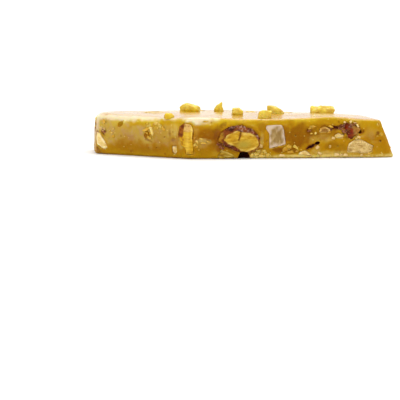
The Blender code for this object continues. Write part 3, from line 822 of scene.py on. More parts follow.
def kernel_form(spot, facing, marks):
    """A whole kernel cut through: two halves of flesh, domed, with a crack between, in a crumpled skin."""
    flat = spot[:, :2] * KERNEL_SIZE / np.ptp(spot[:, :2], axis=0)
    flesh = outside(flat, KERNEL_FLESH) + 0.20 * waves(spot, 1.1, 31)
    bare = smooth(0.12, -0.12, flesh)
    crack = to_line(flat, KERNEL_CRACK) + 0.10 * waves(spot, 0.7, 32)
    soaked = 0.5 * facing * smooth(-4.6, -5.8, flat[:, 0] + 0.6 * waves(spot, 1.2, 58))
    marks["skin"] = np.maximum(marks["skin"], (1 - bare) * (1 - soaked))
    # The crack is sunk and painted dark: painted shade.
    marks["opened"] = smooth(0.36, 0.05, crack) * bare
    marks["rim"] = bare * smooth(-0.75, -0.15, flesh) * smooth(-0.5, 0.3, waves(spot, 1.8, 47))
    # A painted highlight on the upper right of the flesh.
    bright = around(flat[:, 0], 1.5, 1.0) * around(flat[:, 1], 1.8, 0.45)
    marks["rim"] = np.maximum(marks["rim"], bare * bright)
    marks["tone"] = bare * around(flat[:, 0], 1.0, 2.4) * around(flat[:, 1], -1.3, 1.3)
    # Pale glints are painted on the skin's fold crests, kept to its upper part and, weaker, its lower part.
    marks["crest"] *= smooth(1.4, 2.8, flat[:, 1] + 0.35 * flat[:, 0]) + smooth(-0.8, -1.6, flat[:, 1]) * 0.5
    folds = ridges(spot, 1.6, 3, 44)
    on_skin = (1 - bare) * (0.16 + 0.75 * (folds - 0.45))
    on_flesh = bare * (-0.30 + 0.50 * smooth(0.1, -1.7, flesh)) - 0.45 * marks["opened"]
    return facing * (on_skin + on_flesh)


def upright_form(spot, facing, marks):
    """A golden column with a patch of skin at its upper left and a paler broken crown."""
    x, y = spot[:, 0], spot[:, 1]
    ragged = 0.22 * waves(spot, 1.0, 33)
    strip = smooth(0.12, -0.12, x + 1.55 + ragged - 0.12 * (y - 2)) * smooth(-0.3, 0.4, y + ragged)
    shreds = smooth(0.10, -0.10, np.abs(x + 1.9) - 0.42 + ragged) * smooth(-2.6, -2.1, y)
    shreds *= smooth(-0.1, 0.2, waves(spot, 0.7, 34))
    crown = smooth(1.3, 2.1, y + 2 * ragged) * (1 - strip)
    column = around(x, -0.35, 0.75)
    marks["skin"] = np.maximum(marks["skin"], np.maximum(strip, 0.7 * shreds))
    marks["crest"] *= smooth(0.0, 0.8, waves(spot, 1.2, 54))
    # The rim colour: a painted highlight line down its right edge, and paler down the middle of the column.
    marks["rim"] = np.maximum(around(x, 0.95, 0.25) * smooth(-1.5, 0.5, y), 0.35 * column * (1 - crown))
    marks["tone"] = crown
    breaks = ridges(spot, 1.5, 2, 48)
    # The low parts of the crown's breaks are painted darker: painted shade.
    marks["opened"] = 0.45 * smooth(0.35, 0.10, breaks) * crown
    return facing * (0.10 * strip + 0.30 * column * (1 - crown) + 0.55 * crown * breaks - 0.22)


def arc_form(spot, facing, marks):
    """A thin arc of flesh over a golden hollow."""
    hollow = smooth(0.12, -0.12, outside(spot[:, :2], ARC_HOLLOW) + 0.1 * waves(spot, 0.6, 35))
    # The hollow under the arc is sunk and painted darker: painted shade.
    marks["opened"] = hollow * 0.55
    return -0.5 * hollow * facing


def heap_form(spot, facing, marks):
    """Crumpled skin: all folds and hollows, with glints painted on the crests along its top, and toffee over
    its right end.
    """
    folds = ridges(spot, 1.5, 3, 36)
    marks["skin"] = np.ones(len(spot))
    # Glints are painted on the crests along its top only.
    marks["crest"] *= smooth(0.5, 1.5, spot[:, 1] + 0.5 * waves(spot, 1.0, 49))
    marks["tone"] = smooth(0.5, 1.4, spot[:, 0] + 0.3 * spot[:, 1] + 0.7 * waves(spot, 0.9, 57))
    return 0.85 * folds - 0.50 + 0.35 * smooth(0.6, 1.6, spot[:, 1]) * smooth(0.6, 0.9, folds)


def dome_form(spot, facing, marks):
    """Half a kernel: its cut slightly crowned, with fine grooves fanning out from its foot."""
    angle = np.arctan2(spot[:, 1] + 3.4, spot[:, 0] - 0.2)
    grooves = np.abs(np.sin(angle * 22 + 1.8 * waves(spot, 1.4, 37)))
    marks["tone"] = 0.9 * smooth(0.60, 0.15, grooves) * facing * smooth(-0.5, 0.2, waves(spot, 1.1, 55))
    # The rim is kept on the upper half only: a painted highlight where the light from above falls.
    marks["rim"] *= smooth(-0.5, 0.5, spot[:, 1])
    return facing * (0.07 * grooves + 0.5 * facets(spot, 5, 0.7, 4) - 0.05)


def square_form(spot, facing, marks):
    """A square piece with a raised rim, painted paler as a highlight, and a dusty, scraped middle."""
    size = np.maximum(np.abs(spot[:, 0] - 0.3) / 2.2, np.abs(spot[:, 1]) / 3.0)
    middle = smooth(1.05, 0.55, size + 0.32 * waves(spot, 1.3, 38))
    scrape = ridges(spot * np.array([1.0, 0.25, 1.0]), 0.8, 2, 39)
    marks["tone"] = middle * smooth(-0.5, 0.4, waves(spot * np.array([1.0, 0.35, 1.0]), 1.0, 50))
    marks["rim"] = np.maximum(marks["rim"], 0.8 * (1 - middle))
    return facing * (-0.16 * middle + 0.14 * scrape * middle + 0.4 * facets(spot, 4, 0.5, 9))


def plain_form(spot, facing, marks):
    """Any other cut of almond: a few flat breaks."""
    seed = round(float(np.ptp(spot[:, 0])) * 1000)
    bands = ridges(spot * np.array([0.3, 1.0, 1.0]), 1.1, 2, 40)
    marks["tone"] = smooth(-0.2, 0.6, waves(spot, 2.0, 41))
    return facing * (facets(spot, 5, 0.75, seed) + 0.08 * (bands - 0.5))


FORMS = {
    "kernel_cut": kernel_form, "back_right_kernel": kernel_form, "back_left_kernel": kernel_form,
    "upright_piece": upright_form, "arc_piece": arc_form, "skin_heap": heap_form, "dome_piece": dome_form,
    "square_piece": square_form,
}
# How much of a nut's side keeps its skin, where it isn't the usual share.
SKINNED = {"kernel_cut": 1.0, "back_right_kernel": 1.0, "back_left_kernel": 1.0, "square_piece": 0.0,
           "upright_piece": 0.6, "dome_piece": 0.35, "corner_wedge": 0.3}
USUAL_SKIN = 0.4


def nut_piece(nut):
    """An almond piece: the CAD's form with an even skin, its own relief, and what its finish reads."""
    piece = merged_copy(nut.node, "nut_" + nut.node)
    remesh(piece, NUT_VOXEL)
    relax(piece.data, NUT_RELAX)
    mesh = piece.data
    matrix = spot_frame(nut.wall, nut.along, nut.up, nut.turn, nut.swing)
    at, out = places(mesh), outwards(mesh)
    spot = local(at, matrix)
    facing = out @ np.array(matrix.col[2][:3])
    front = smooth(0.35, 0.8, facing)
    seeded = spot + NUTS.index(nut) * 17.0
    kept = SKINNED.get(nut.node, USUAL_SKIN)
    folds = ridges(seeded, 1.1, 3, 44)
    marks = {
        "skin": (1 - front) * smooth(0.9 - kept, 0.6 - kept, 0.5 + waves(seeded, 3.0, 42)),
        "tone": np.zeros(len(at)),
        # The fold crests, where pale glints are painted on the skin.
        "crest": smooth(0.5, 0.85, folds),
        # A paler rim along the cut's rounded edge, partly a painted highlight where the edge catches the
        # light.
        "rim": smooth(0.75, 0.05, rim_distance(at, facing)) * smooth(-0.4, 0.4, waves(seeded, 1.6, 45)),
        "opened": np.zeros(len(at)),
    }
    rise = FORMS.get(nut.node, plain_form)(spot, front, marks)
    rise = rise + 0.06 * rough(seeded, 1.3, 3, 43) + 0.10 * waves(seeded, 3.0, 46) * front
    rise += marks["skin"] * 0.20 * (folds - 0.5)
    put(mesh, at + out * (rise * MM)[:, None])
    for name, values in marks.items():
        paint(mesh, name, values)
    paint_place(mesh, "grain", seeded)
    return piece


# Chips that lie fused on the top: x, y, length, width, the heights of the two ends and the turn.
Chip = namedtuple("Chip", "x y length width left right turn")
CHIPS = [
    Chip(-15.2, 8.8, 6.4, 3.2, 3.5, 1.5, -14),
    Chip(-4.9, 15.8, 2.6, 2.0, 1.5, 3.7, 20),
    Chip(0.4, -9.8, 3.0, 2.2, 2.1, 2.2, 8),
    Chip(8.2, -21.6, 3.9, 2.4, 2.2, 2.0, -4),
    Chip(13.4, -2.6, 4.8, 2.8, 2.7, 1.6, -22),
    Chip(29.5, 0.5, 7.6, 3.0, 2.3, 2.2, 6),
    Chip(-21.0, -24.4, 2.8, 2.0, 1.4, 1.1, 20),
]
CHIP_SINK = 0.45 * MM
CHIP_CUTS = 3
CUT_REACH = 0.46
CUT_STEEPNESS = (0.4, 1.1)
CHIP_ROUGHNESS = 0.05
# How far, in millimetres, a chip is let out again after its corners are rounded.
CHIP_REGAIN = 0.08


def chip_block(bm, chip, seed):
    """A broken chip: a block with its corners struck off, sunk a little into the top."""
    draw = random.Random(seed)
    block = bmesh.new()
    bmesh.ops.create_cube(block, size=1)
    for _ in range(CHIP_CUTS):
        turn = draw.uniform(0, math.tau)
        normal = Vector((math.cos(turn), math.sin(turn), draw.uniform(*CUT_STEEPNESS))).normalized()
        struck = bmesh.ops.bisect_plane(block, geom=block.verts[:] + block.edges[:] + block.faces[:],
                                        plane_co=normal * CUT_REACH, plane_no=normal, clear_outer=True)
        edges = [item for item in struck["geom_cut"] if isinstance(item, bmesh.types.BMEdge)]
        bmesh.ops.holes_fill(block, edges=edges, sides=0)
    for vertex in block.verts:
        vertex.co += Vector([draw.uniform(-CHIP_ROUGHNESS, CHIP_ROUGHNESS) for _ in range(3)])
    bmesh.ops.delete(block, geom=block.edges[:] + block.faces[:], context="EDGES_FACES")
    hull = bmesh.ops.convex_hull(block, input=block.verts)
    bmesh.ops.delete(block, geom=hull["geom_interior"], context="VERTS")
    bmesh.ops.recalc_face_normals(block, faces=block.faces)
    for vertex in block.verts:
        height = (chip.left + (chip.right - chip.left) * (vertex.co.x + 0.5)) * MM
        vertex.co.z = (vertex.co.z + 0.5) * (height + CHIP_SINK) - CHIP_SINK
    size = Matrix.Diagonal((chip.length * MM, chip.width * MM, 1, 1))
    matrix = spot_frame("top", chip.x, chip.y, chip.turn) @ size
    bmesh.ops.transform(block, matrix=matrix, verts=block.verts)
    add_part(bm, block)


def chip_pieces():
    """The seven chips as one piece."""
    bm = bmesh.new()
    for seed, chip in enumerate(CHIPS):
        chip_block(bm, chip, seed)
    piece = new_piece("top_chips", bm)
    remesh(piece, CHIP_VOXEL)
    relax(piece.data, CHIP_RELAX)
    mesh = piece.data
    at, out = places(mesh), outwards(mesh)
    grain = CHIP_REGAIN + 0.26 * rough(at, 2.1 * MM, 3, 50) + 0.18 * (ridges(at, 1.7 * MM, 2, 51) - 0.5)
    put(mesh, at + out * (grain * MM)[:, None])
    level = at[:, 2] - THICKNESS
    foot = smooth(1.3 * MM, 0.3 * MM, level)
    crown = smooth(1.2 * MM, 2.6 * MM, level)
    pale = np.maximum(smooth(0.05, 0.5, waves(at, 2.4 * MM, 52)) * 0.8, 0.35 * crown)
    paint(mesh, "pale", np.maximum(pale, 0.4 * smooth(-6 * MM, 4 * MM, at[:, 0])))
    paint(mesh, "deep", np.maximum(0.9 * smooth(0.05, 0.45, waves(at, 2.0 * MM, 53)), 0.35 * foot))
    return piece


def surface_tree(piece):
    """A piece's surface, to set bits on."""
    mesh = piece.data
    corners = [vertex.co.copy() for vertex in mesh.vertices]
    return BVHTree.FromPolygons(corners, [list(face.vertices) for face in mesh.polygons])


def landed(tree, wall, along, up):
    """A frame on the slab's real surface at a spot of a wall, or None in a pocket or a hollow."""
    spot = spot_frame(wall, along, up)
    z = spot.col[2].to_3d()
    place, normal, _, _ = tree.ray_cast(spot.translation + z * 3 * MM, -z, 8 * MM)
    if place is None or normal.dot(z) < 0.3:
        return None
    turn = z.rotation_difference(normal).to_matrix().to_4x4()
    return Matrix.Translation(place) @ turn @ spot.to_3x3().to_4x4()


# Broken bits stuck to the slab: wall, along, up, length, width, how far they stand out, and their turn.
Shard = namedtuple("Shard", "wall along up length width out turn")
TOFFEE_SHARDS = on_walls(
    Shard,
    ("front_left", [
        (20.3, 8.4, 2.8, 0.8, 0.7, 25), (22.2, 7.8, 0.8, 2.7, 0.6, 8), (21.4, 7.3, 1.2, 1.1, 0.4, 40),
        (19.9, 7.3, 1.0, 0.6, 0.4, -20), (20.6, 5.9, 3.0, 0.7, 0.6, -15), (23.7, 10.1, 1.3, 0.8, 0.5, 10),
        (22.8, 9.7, 0.9, 0.7, 0.4, 60), (25.0, 9.5, 1.1, 0.7, 0.4, -30), (24.2, 8.8, 0.8, 0.5, 0.3, 20),
        (20.3, 10.0, 1.1, 0.6, 0.4, 15), (26.4, 8.6, 1.5, 0.9, 0.4, -50), (4.0, 10.4, 0.9, 1.2, 0.5, 20),
        (7.4, 8.1, 0.7, 0.6, 0.3, 0), (6.9, 6.9, 0.6, 0.5, 0.3, 30), (7.6, 5.9, 1.0, 0.8, 0.4, 15),
        (6.2, 7.4, 0.5, 0.5, 0.3, 0),
    ]),
    ("front", [
        (1.8, 6.2, 0.7, 0.6, 0.4, 0), (2.5, 5.1, 1.0, 0.5, 0.4, -50), (1.9, 4.2, 0.9, 0.6, 0.4, 40),
        (2.5, 3.6, 0.6, 0.4, 0.3, 0), (3.1, 2.7, 0.6, 0.5, 0.4, 20), (1.1, 2.0, 1.1, 0.5, 0.4, 5),
        (3.7, 5.9, 1.1, 0.4, 0.3, -10), (5.9, 5.1, 1.2, 0.4, 0.3, -12), (4.4, 4.7, 1.5, 0.4, 0.3, -6),
        (5.2, 11.0, 1.4, 0.5, 0.3, 0), (28.8, 2.6, 1.9, 1.1, 0.25, 35), (30.1, 3.4, 1.8, 0.9, 0.30, -20),
        (30.6, 1.9, 1.7, 0.9, 0.22, 15), (32.3, 3.2, 1.7, 0.8, 0.28, -30), (32.7, 2.1, 1.0, 0.6, 0.22, 0),
        (20.3, 1.3, 1.4, 0.9, 0.5, 20), (21.8, 0.7, 1.3, 0.8, 0.5, -10), (20.9, 2.1, 1.0, 0.8, 0.5, 45),
        (22.7, 2.1, 1.2, 0.7, 0.4, 0), (23.9, 1.0, 1.3, 0.8, 0.4, 10), (18.9, 0.9, 1.0, 0.8, 0.5, 30),
        (22.2, 1.4, 0.9, 0.6, 0.4, 70), (36.4, 8.7, 0.9, 0.6, 0.4, 20), (37.5, 9.4, 1.2, 0.6, 0.4, -20),
        (36.9, 7.4, 0.8, 0.6, 0.4, 0), (38.2, 7.4, 0.7, 0.5, 0.4, 45), (42.9, 9.3, 1.2, 0.6, 0.4, -30),
        (42.4, 7.6, 1.0, 0.5, 0.4, 15), (57.8, 10.1, 0.6, 0.8, 0.4, 0), (57.3, 6.5, 0.7, 0.5, 0.3, 10),
        (58.7, 7.0, 0.8, 0.5, 0.3, -30), (45.4, 11.6, 1.0, 0.5, 0.3, 0),
    ]),
)
ALMOND_CRUMBS = on_walls(
    Shard,
    ("front_left", [(2.7, 8.3, 1.4, 0.8, 0.6, -20), (3.8, 7.8, 0.9, 0.9, 0.5, 30)]),
    ("front", [
        (42.8, 3.4, 0.7, 0.7, 0.4, 0), (21.8, 3.7, 1.0, 0.8, 0.5, 10), (51.4, 6.2, 1.1, 0.6, 0.5, -30),
        (50.6, 5.7, 0.7, 0.5, 0.4, 0), (51.0, 9.6, 1.3, 0.5, 0.5, -50), (50.2, 10.4, 0.9, 0.5, 0.5, -20),
        (47.2, 10.6, 1.0, 0.6, 0.4, -20), (48.9, 10.8, 0.9, 0.6, 0.4, 30), (50.9, 8.2, 0.8, 0.6, 0.4, 70),
        (44.9, 1.0, 1.5, 0.8, 0.4, 0), (47.4, 0.9, 1.2, 0.7, 0.4, 0), (46.1, 0.8, 0.9, 0.6, 0.4, 20),
        (52.4, 0.8, 0.9, 0.6, 0.4, 0), (39.6, 1.4, 1.2, 0.6, 0.4, -30), (38.9, 3.2, 1.1, 0.8, 0.4, 40),
        (28.0, 0.9, 1.6, 0.6, 0.3, 0), (43.7, 5.9, 0.9, 0.6, 0.4, 0),
    ]),
)
# Loose grains: a wall, a middle, a spread each way, how many, and the least and most size.
Cluster = namedtuple("Cluster", "wall along up spread_x spread_y count small large")
LIP_GRAINS = on_walls(
    Cluster,
    ("front", [
        (21.0, 1.3, 1.7, 0.5, 20, 0.25, 0.6), (31.0, 2.5, 1.8, 0.6, 6, 0.20, 0.4),
        (46.0, 0.8, 9.0, 0.25, 16, 0.25, 0.6),
    ]),
    ("front_left", [(21.6, 8.2, 1.8, 1.4, 8, 0.25, 0.5), (14.0, 11.2, 7.0, 0.4, 5, 0.25, 0.4)]),
    ("front", [(48.6, 9.8, 1.6, 0.7, 8, 0.25, 0.5)]),
)


def scattered_clusters(seed, most):
    """A few grains here and there on the walls that don't show."""
    draw = random.Random(seed)
    made = []
    for wall in GUESSED_WALLS:
        length, height = wall_size(wall)
        for _ in range(round(length / (16 if wall in ("left", "right") else 6))):
            made.append(Cluster(wall, draw.uniform(3, length - 3), draw.uniform(0.8, height - 1.5), 1.4, 0.8,
                                draw.randint(2, most), 0.3, 1.1))
    return made


def grown_shards(clusters, seed):
    """The grains of the clusters as shards, all kept on their walls."""
    draw = random.Random(seed)
    made = []
    for cluster in clusters:
        for _ in range(cluster.count):
            along = cluster.along + draw.gauss(0, cluster.spread_x)
            up = cluster.up + draw.gauss(0, cluster.spread_y)
            if cluster.wall not in ("top", "underside"):
                length, height = wall_size(cluster.wall)
                along = min(max(along, 2.5), length - 2.5)
                up = min(max(up, 0.35), height - 1.0)
            size = draw.uniform(cluster.small, cluster.large)
            made.append(Shard(cluster.wall, along, up, size, size * draw.uniform(0.5, 0.9),
                              size * draw.uniform(0.3, 0.6), draw.uniform(0, 360)))
    return made


# The bits up to this height of the walls, in millimetres, are pale.
PALE_UP_TO = 1.5
# How far a bit may tilt, in radians, and how its corners are cut and shifted, as shares of its size.
SHARD_TILT = 0.3
SHARD_CHAMFER = 0.16
SHARD_BEND, SHARD_JITTER = 0.42, 0.06
SHARD_LIFT = 0.02
# No bit goes lower than this.
LEAST_HEIGHT = 0.02 * MM


def shard_piece(name, shards, seed, tree):
    """Angular bits, each a block knocked out of square and set a little into the slab."""
    draw = random.Random(seed)
    bm = bmesh.new()
    tone = bm.verts.layers.float.new("tone")
    for shard in shards:
        spot = landed(tree, shard.wall, shard.along, shard.up)
        if spot is None:
            continue
        tilt = Matrix.Rotation(draw.uniform(-SHARD_TILT, SHARD_TILT), 4, "X")
        tilt = tilt @ Matrix.Rotation(draw.uniform(-SHARD_TILT, SHARD_TILT), 4, "Y")
        size = Matrix.Diagonal((shard.length * MM, shard.width * MM, 1.3 * shard.out * MM, 1))
        block = bmesh.ops.create_cube(bm, size=1)["verts"]
        edges = list(dict.fromkeys(edge for vertex in block for edge in vertex.link_edges))
        cut_up = bmesh.ops.bevel(bm, geom=edges, offset=SHARD_CHAMFER, segments=1, profile=0.5,
                                 affect="EDGES", material=-1)
        # The bevel gives its faces in no fixed order, so the corners are put in one of their own.
        rounded = sorted({vertex for face in cut_up["faces"] for vertex in face.verts},
                         key=lambda vertex: [round(value, 3) for value in vertex.co])
        own_tone, phase = draw.random(), draw.uniform(0, 50)
        if shard.up < PALE_UP_TO:
            own_tone = 0.45 + 0.45 * own_tone
        for vertex in rounded:
            slow = noise.noise_vector(vertex.co * 1.7 + Vector((phase, 0, 0)))
            quick = Vector([draw.uniform(-SHARD_JITTER, SHARD_JITTER) for _ in range(3)])
            vertex.co += slow * SHARD_BEND + quick
            vertex.co.z += SHARD_LIFT
            vertex[tone] = own_tone
        bmesh.ops.transform(bm, matrix=spot @ turned("Z", shard.turn) @ tilt @ size, verts=rounded)
    for vertex in bm.verts:
        vertex.co.z = max(vertex.co.z, LEAST_HEIGHT)
    bmesh.ops.recalc_face_normals(bm, faces=bm.faces)
    return new_piece(name, bm)


# Curled flakes of almond skin: wall, along, up, length, width, how far they stand out, turn and tilt.
Flake = namedtuple("Flake", "wall along up length width out turn tilt")
FLAKES = on_walls(
    Flake,
    ("front", [
        (46.6, 10.0, 1.8, 0.9, 0.4, 20, 40), (48.0, 10.4, 1.7, 0.8, 0.4, -30, 45),
        (49.6, 10.2, 1.6, 0.8, 0.4, 40, 45), (50.6, 9.0, 1.6, 0.9, 0.4, -60, 40),
        (50.8, 7.2, 1.5, 0.7, 0.3, 80, 35), (47.6, 8.6, 1.7, 1.0, 0.5, 10, 30),
        (49.0, 8.0, 1.6, 0.9, 0.5, -40, 40), (48.2, 6.8, 1.5, 0.8, 0.4, 60, 35),
        (45.8, 8.8, 1.4, 0.7, 0.4, 0, 30), (9.2, 4.4, 1.7, 0.9, 0.5, -20, 35),
        (9.8, 3.3, 1.6, 0.8, 0.5, -40, 40), (11.4, 8.8, 1.8, 0.8, 0.6, 30, 30),
    ]),
    ("front_left", [(3.8, 7.4, 1.6, 1.0, 0.4, -30, 20)]),
    ("front", [
        (36.2, 8.2, 1.2, 0.6, 0.3, 15, 30), (42.8, 8.6, 1.3, 0.6, 0.3, -15, 35),
        (45.8, 9.7, 0.9, 0.6, 0.3, 30, 30), (51.7, 8.8, 0.9, 0.6, 0.3, -30, 30),
        (46.7, 7.2, 0.9, 0.5, 0.3, 50, 30), (46.9, 7.9, 1.6, 0.9, 0.3, -25, 15),
        (46.2, 9.2, 1.5, 0.9, 0.3, 35, 15),
    ]),
    ("back", [(20.6, 6.2, 2.0, 1.1, 0.4, 25, 35)]),
    ("back_left", [(13.0, 5.0, 2.2, 1.2, 0.4, -20, 35)]),
    ("back_right", [(15.4, 6.2, 2.0, 1.0, 0.4, 50, 40)]),
    ("left_back", [(11.4, 6.6, 1.8, 1.0, 0.4, 10, 30)]),
    ("right", [(12.8, 7.8, 1.8, 0.9, 0.4, -35, 35)]),
)
FLAKE_THICKNESS = 0.09 * MM


def skin_flakes(tree):
    """Thin curled sheets of skin, each with a ragged edge."""
    bm = bmesh.new()
    draw = random.Random(8)
    for flake in FLAKES:
        sheet = bmesh.new()
        bmesh.ops.create_grid(sheet, x_segments=9, y_segments=6, size=0.5)
        phase = draw.uniform(0, 20)
        for vertex in sheet.verts:
            x, y = vertex.co.x, vertex.co.y
            ragged = 1 + 0.35 * noise.noise(Vector((x * 4, y * 4, phase)))
            bend = 0.45 * (y * 2) ** 2 + 0.25 * math.sin(x * 4 + phase)
            rise = bend * flake.width * 0.5
            vertex.co = Vector((x * flake.length * ragged, y * flake.width * ragged, rise)) * MM
        bmesh.ops.solidify(sheet, geom=sheet.faces[:], thickness=FLAKE_THICKNESS)
        bmesh.ops.recalc_face_normals(sheet, faces=sheet.faces)
        spot = landed(tree, flake.wall, flake.along, flake.up)
        spot = spot or spot_frame(flake.wall, flake.along, flake.up)
        stand = Matrix.Translation((0, 0, flake.out * MM * 0.6))
        matrix = spot @ stand @ turned("Z", flake.turn) @ turned("X", flake.tilt)
        bmesh.ops.transform(sheet, matrix=matrix, verts=sheet.verts)
        add_part(bm, sheet)
    return new_piece("skin_flakes", bm)


class Finish:
    """A material's nodes, with short ways to add the usual ones."""

    def __init__(self, name):
        self.material = bpy.data.materials.new(name)
        self.material.use_nodes = True
        self.tree = self.material.node_tree
        self.shader = self.tree.nodes["Principled BSDF"]
        self.place = self.add("TexCoord").outputs["Object"]

    def add(self, kind, inputs=(), **settings):
        """A new node with its inputs fed and its settings made."""
        made = self.tree.nodes.new("ShaderNode" + kind)
        for name, value in settings.items():
            setattr(made, name, value)
        for key, value in dict(inputs).items():
            self.feed(made.inputs[key], value)
        return made

    def feed(self, socket, value):
        """Links another node's output to an input, or gives it a value."""
        if isinstance(value, bpy.types.NodeSocket):
            self.tree.links.new(value, socket)
        elif socket.type == "RGBA" and len(value) == 3:
            socket.default_value = (*value, 1)
        else:
            socket.default_value = value

    def noise(self, length, detail=3.0, roughness=0.55, distortion=0.0, place=None):
        """Noise from 0 to 1 whose waves are about this long."""
        made = self.add("TexNoise", {"Vector": place or self.place, "Scale": 1 / length, "Detail": detail,
                                     "Roughness": roughness, "Distortion": distortion})
        return made.outputs["Fac"]

    def cells(self, length, place=None):
        """The distance to the nearest of many spots about this far apart."""
        inputs = {"Vector": place or self.place, "Scale": 1 / length}
        return self.add("TexVoronoi", inputs).outputs["Distance"]

    def read(self, name):
        """A number that is kept for each vertex."""
        return self.add("Attribute", attribute_name=name).outputs["Fac"]

    def read_place(self, name):
        """A place that is kept for each vertex."""
        return self.add("Attribute", attribute_name=name).outputs["Vector"]

    def stretched(self, place, scale):
        """A place whose pattern is drawn out, most where the scale is least."""
        return self.add("Mapping", {"Vector": place, "Scale": scale}).outputs["Vector"]

    def times(self, a, b):
        """One number times another."""
        return self.sums("MULTIPLY", a, b)

    def sums(self, operation, a, b, c=0.0):
        """Any other sum of two numbers or three."""
        made = self.add("Math", operation=operation)
        for socket, value in zip(made.inputs, (a, b, c)):
            self.feed(socket, value)
        return made.outputs["Value"]

    def span(self, value, low, high, to_low=0.0, to_high=1.0):
        """An even curve from one value at low to another at high."""
        made = self.add("MapRange", {"Value": value, "From Min": low, "From Max": high, "To Min": to_low,
                                     "To Max": to_high}, interpolation_type="SMOOTHSTEP")
        return made.outputs["Result"]

    def ramp(self, value, stops):
        """The colour of each stop where the value reaches it, and the ones between."""
        made = self.add("ValToRGB", {"Fac": value})
        points = made.color_ramp.elements
        while len(points) < len(stops):
            points.new(0.5)
        for point, (position, colour) in zip(points, stops):
            point.position = position
            point.color = (*colour, 1)
        return made.outputs["Color"]

    def mix(self, share, a, b):
        """One colour where the share is 0, another where it is 1."""
        made = self.add("Mix", data_type="RGBA", blend_type="MIX")
        self.feed(made.inputs["Factor"], share)
        for socket, value in zip((s for s in made.inputs if s.type == "RGBA"), (a, b)):
            self.feed(socket, value)
        return next(s for s in made.outputs if s.type == "RGBA")

    def tint(self, colour, mask, strength, other):
        """The colour, with up to this much of another where the mask says."""
        return self.mix(self.times(mask, strength), colour, other)

    def bump(self, height, depth):
        """Fine relief of this depth."""
        return self.add("Bump", {"Height": height, "Distance": depth, "Strength": 1.0}).outputs["Normal"]

    def glow(self, weight, radius, depth):
        """Light that goes in and comes out again, so deep for red, green and blue as shares of the depth."""
        self.set(Subsurface_Weight=weight, Subsurface_Radius=radius, Subsurface_Scale=depth)

    def set(self, **inputs):
        """Feeds the shader's inputs and gives the finished material."""
        for key, value in inputs.items():
            self.feed(self.shader.inputs[key.replace("_", " ")], value)
        return self.material


# The toffee's colours, as linear red, green and blue, those of what lies on it or shows through, and painted
# light.
AMBER_DEEP = (0.200, 0.062, 0.0010)
AMBER = (0.33, 0.138, 0.0010)
HONEY = (0.45, 0.255, 0.004)
BUTTER = (0.69, 0.525, 0.050)
CREAM = (0.76, 0.64, 0.24)
PAINTED_HIGHLIGHT = (0.79, 0.74, 0.61)
OLIVE_GREY = (0.56, 0.455, 0.12)
LILAC_GREY = (0.54, 0.43, 0.25)
STAIN_AND_SHADE = (0.13, 0.026, 0.001)
DARKEST = (0.060, 0.006, 0.0005)


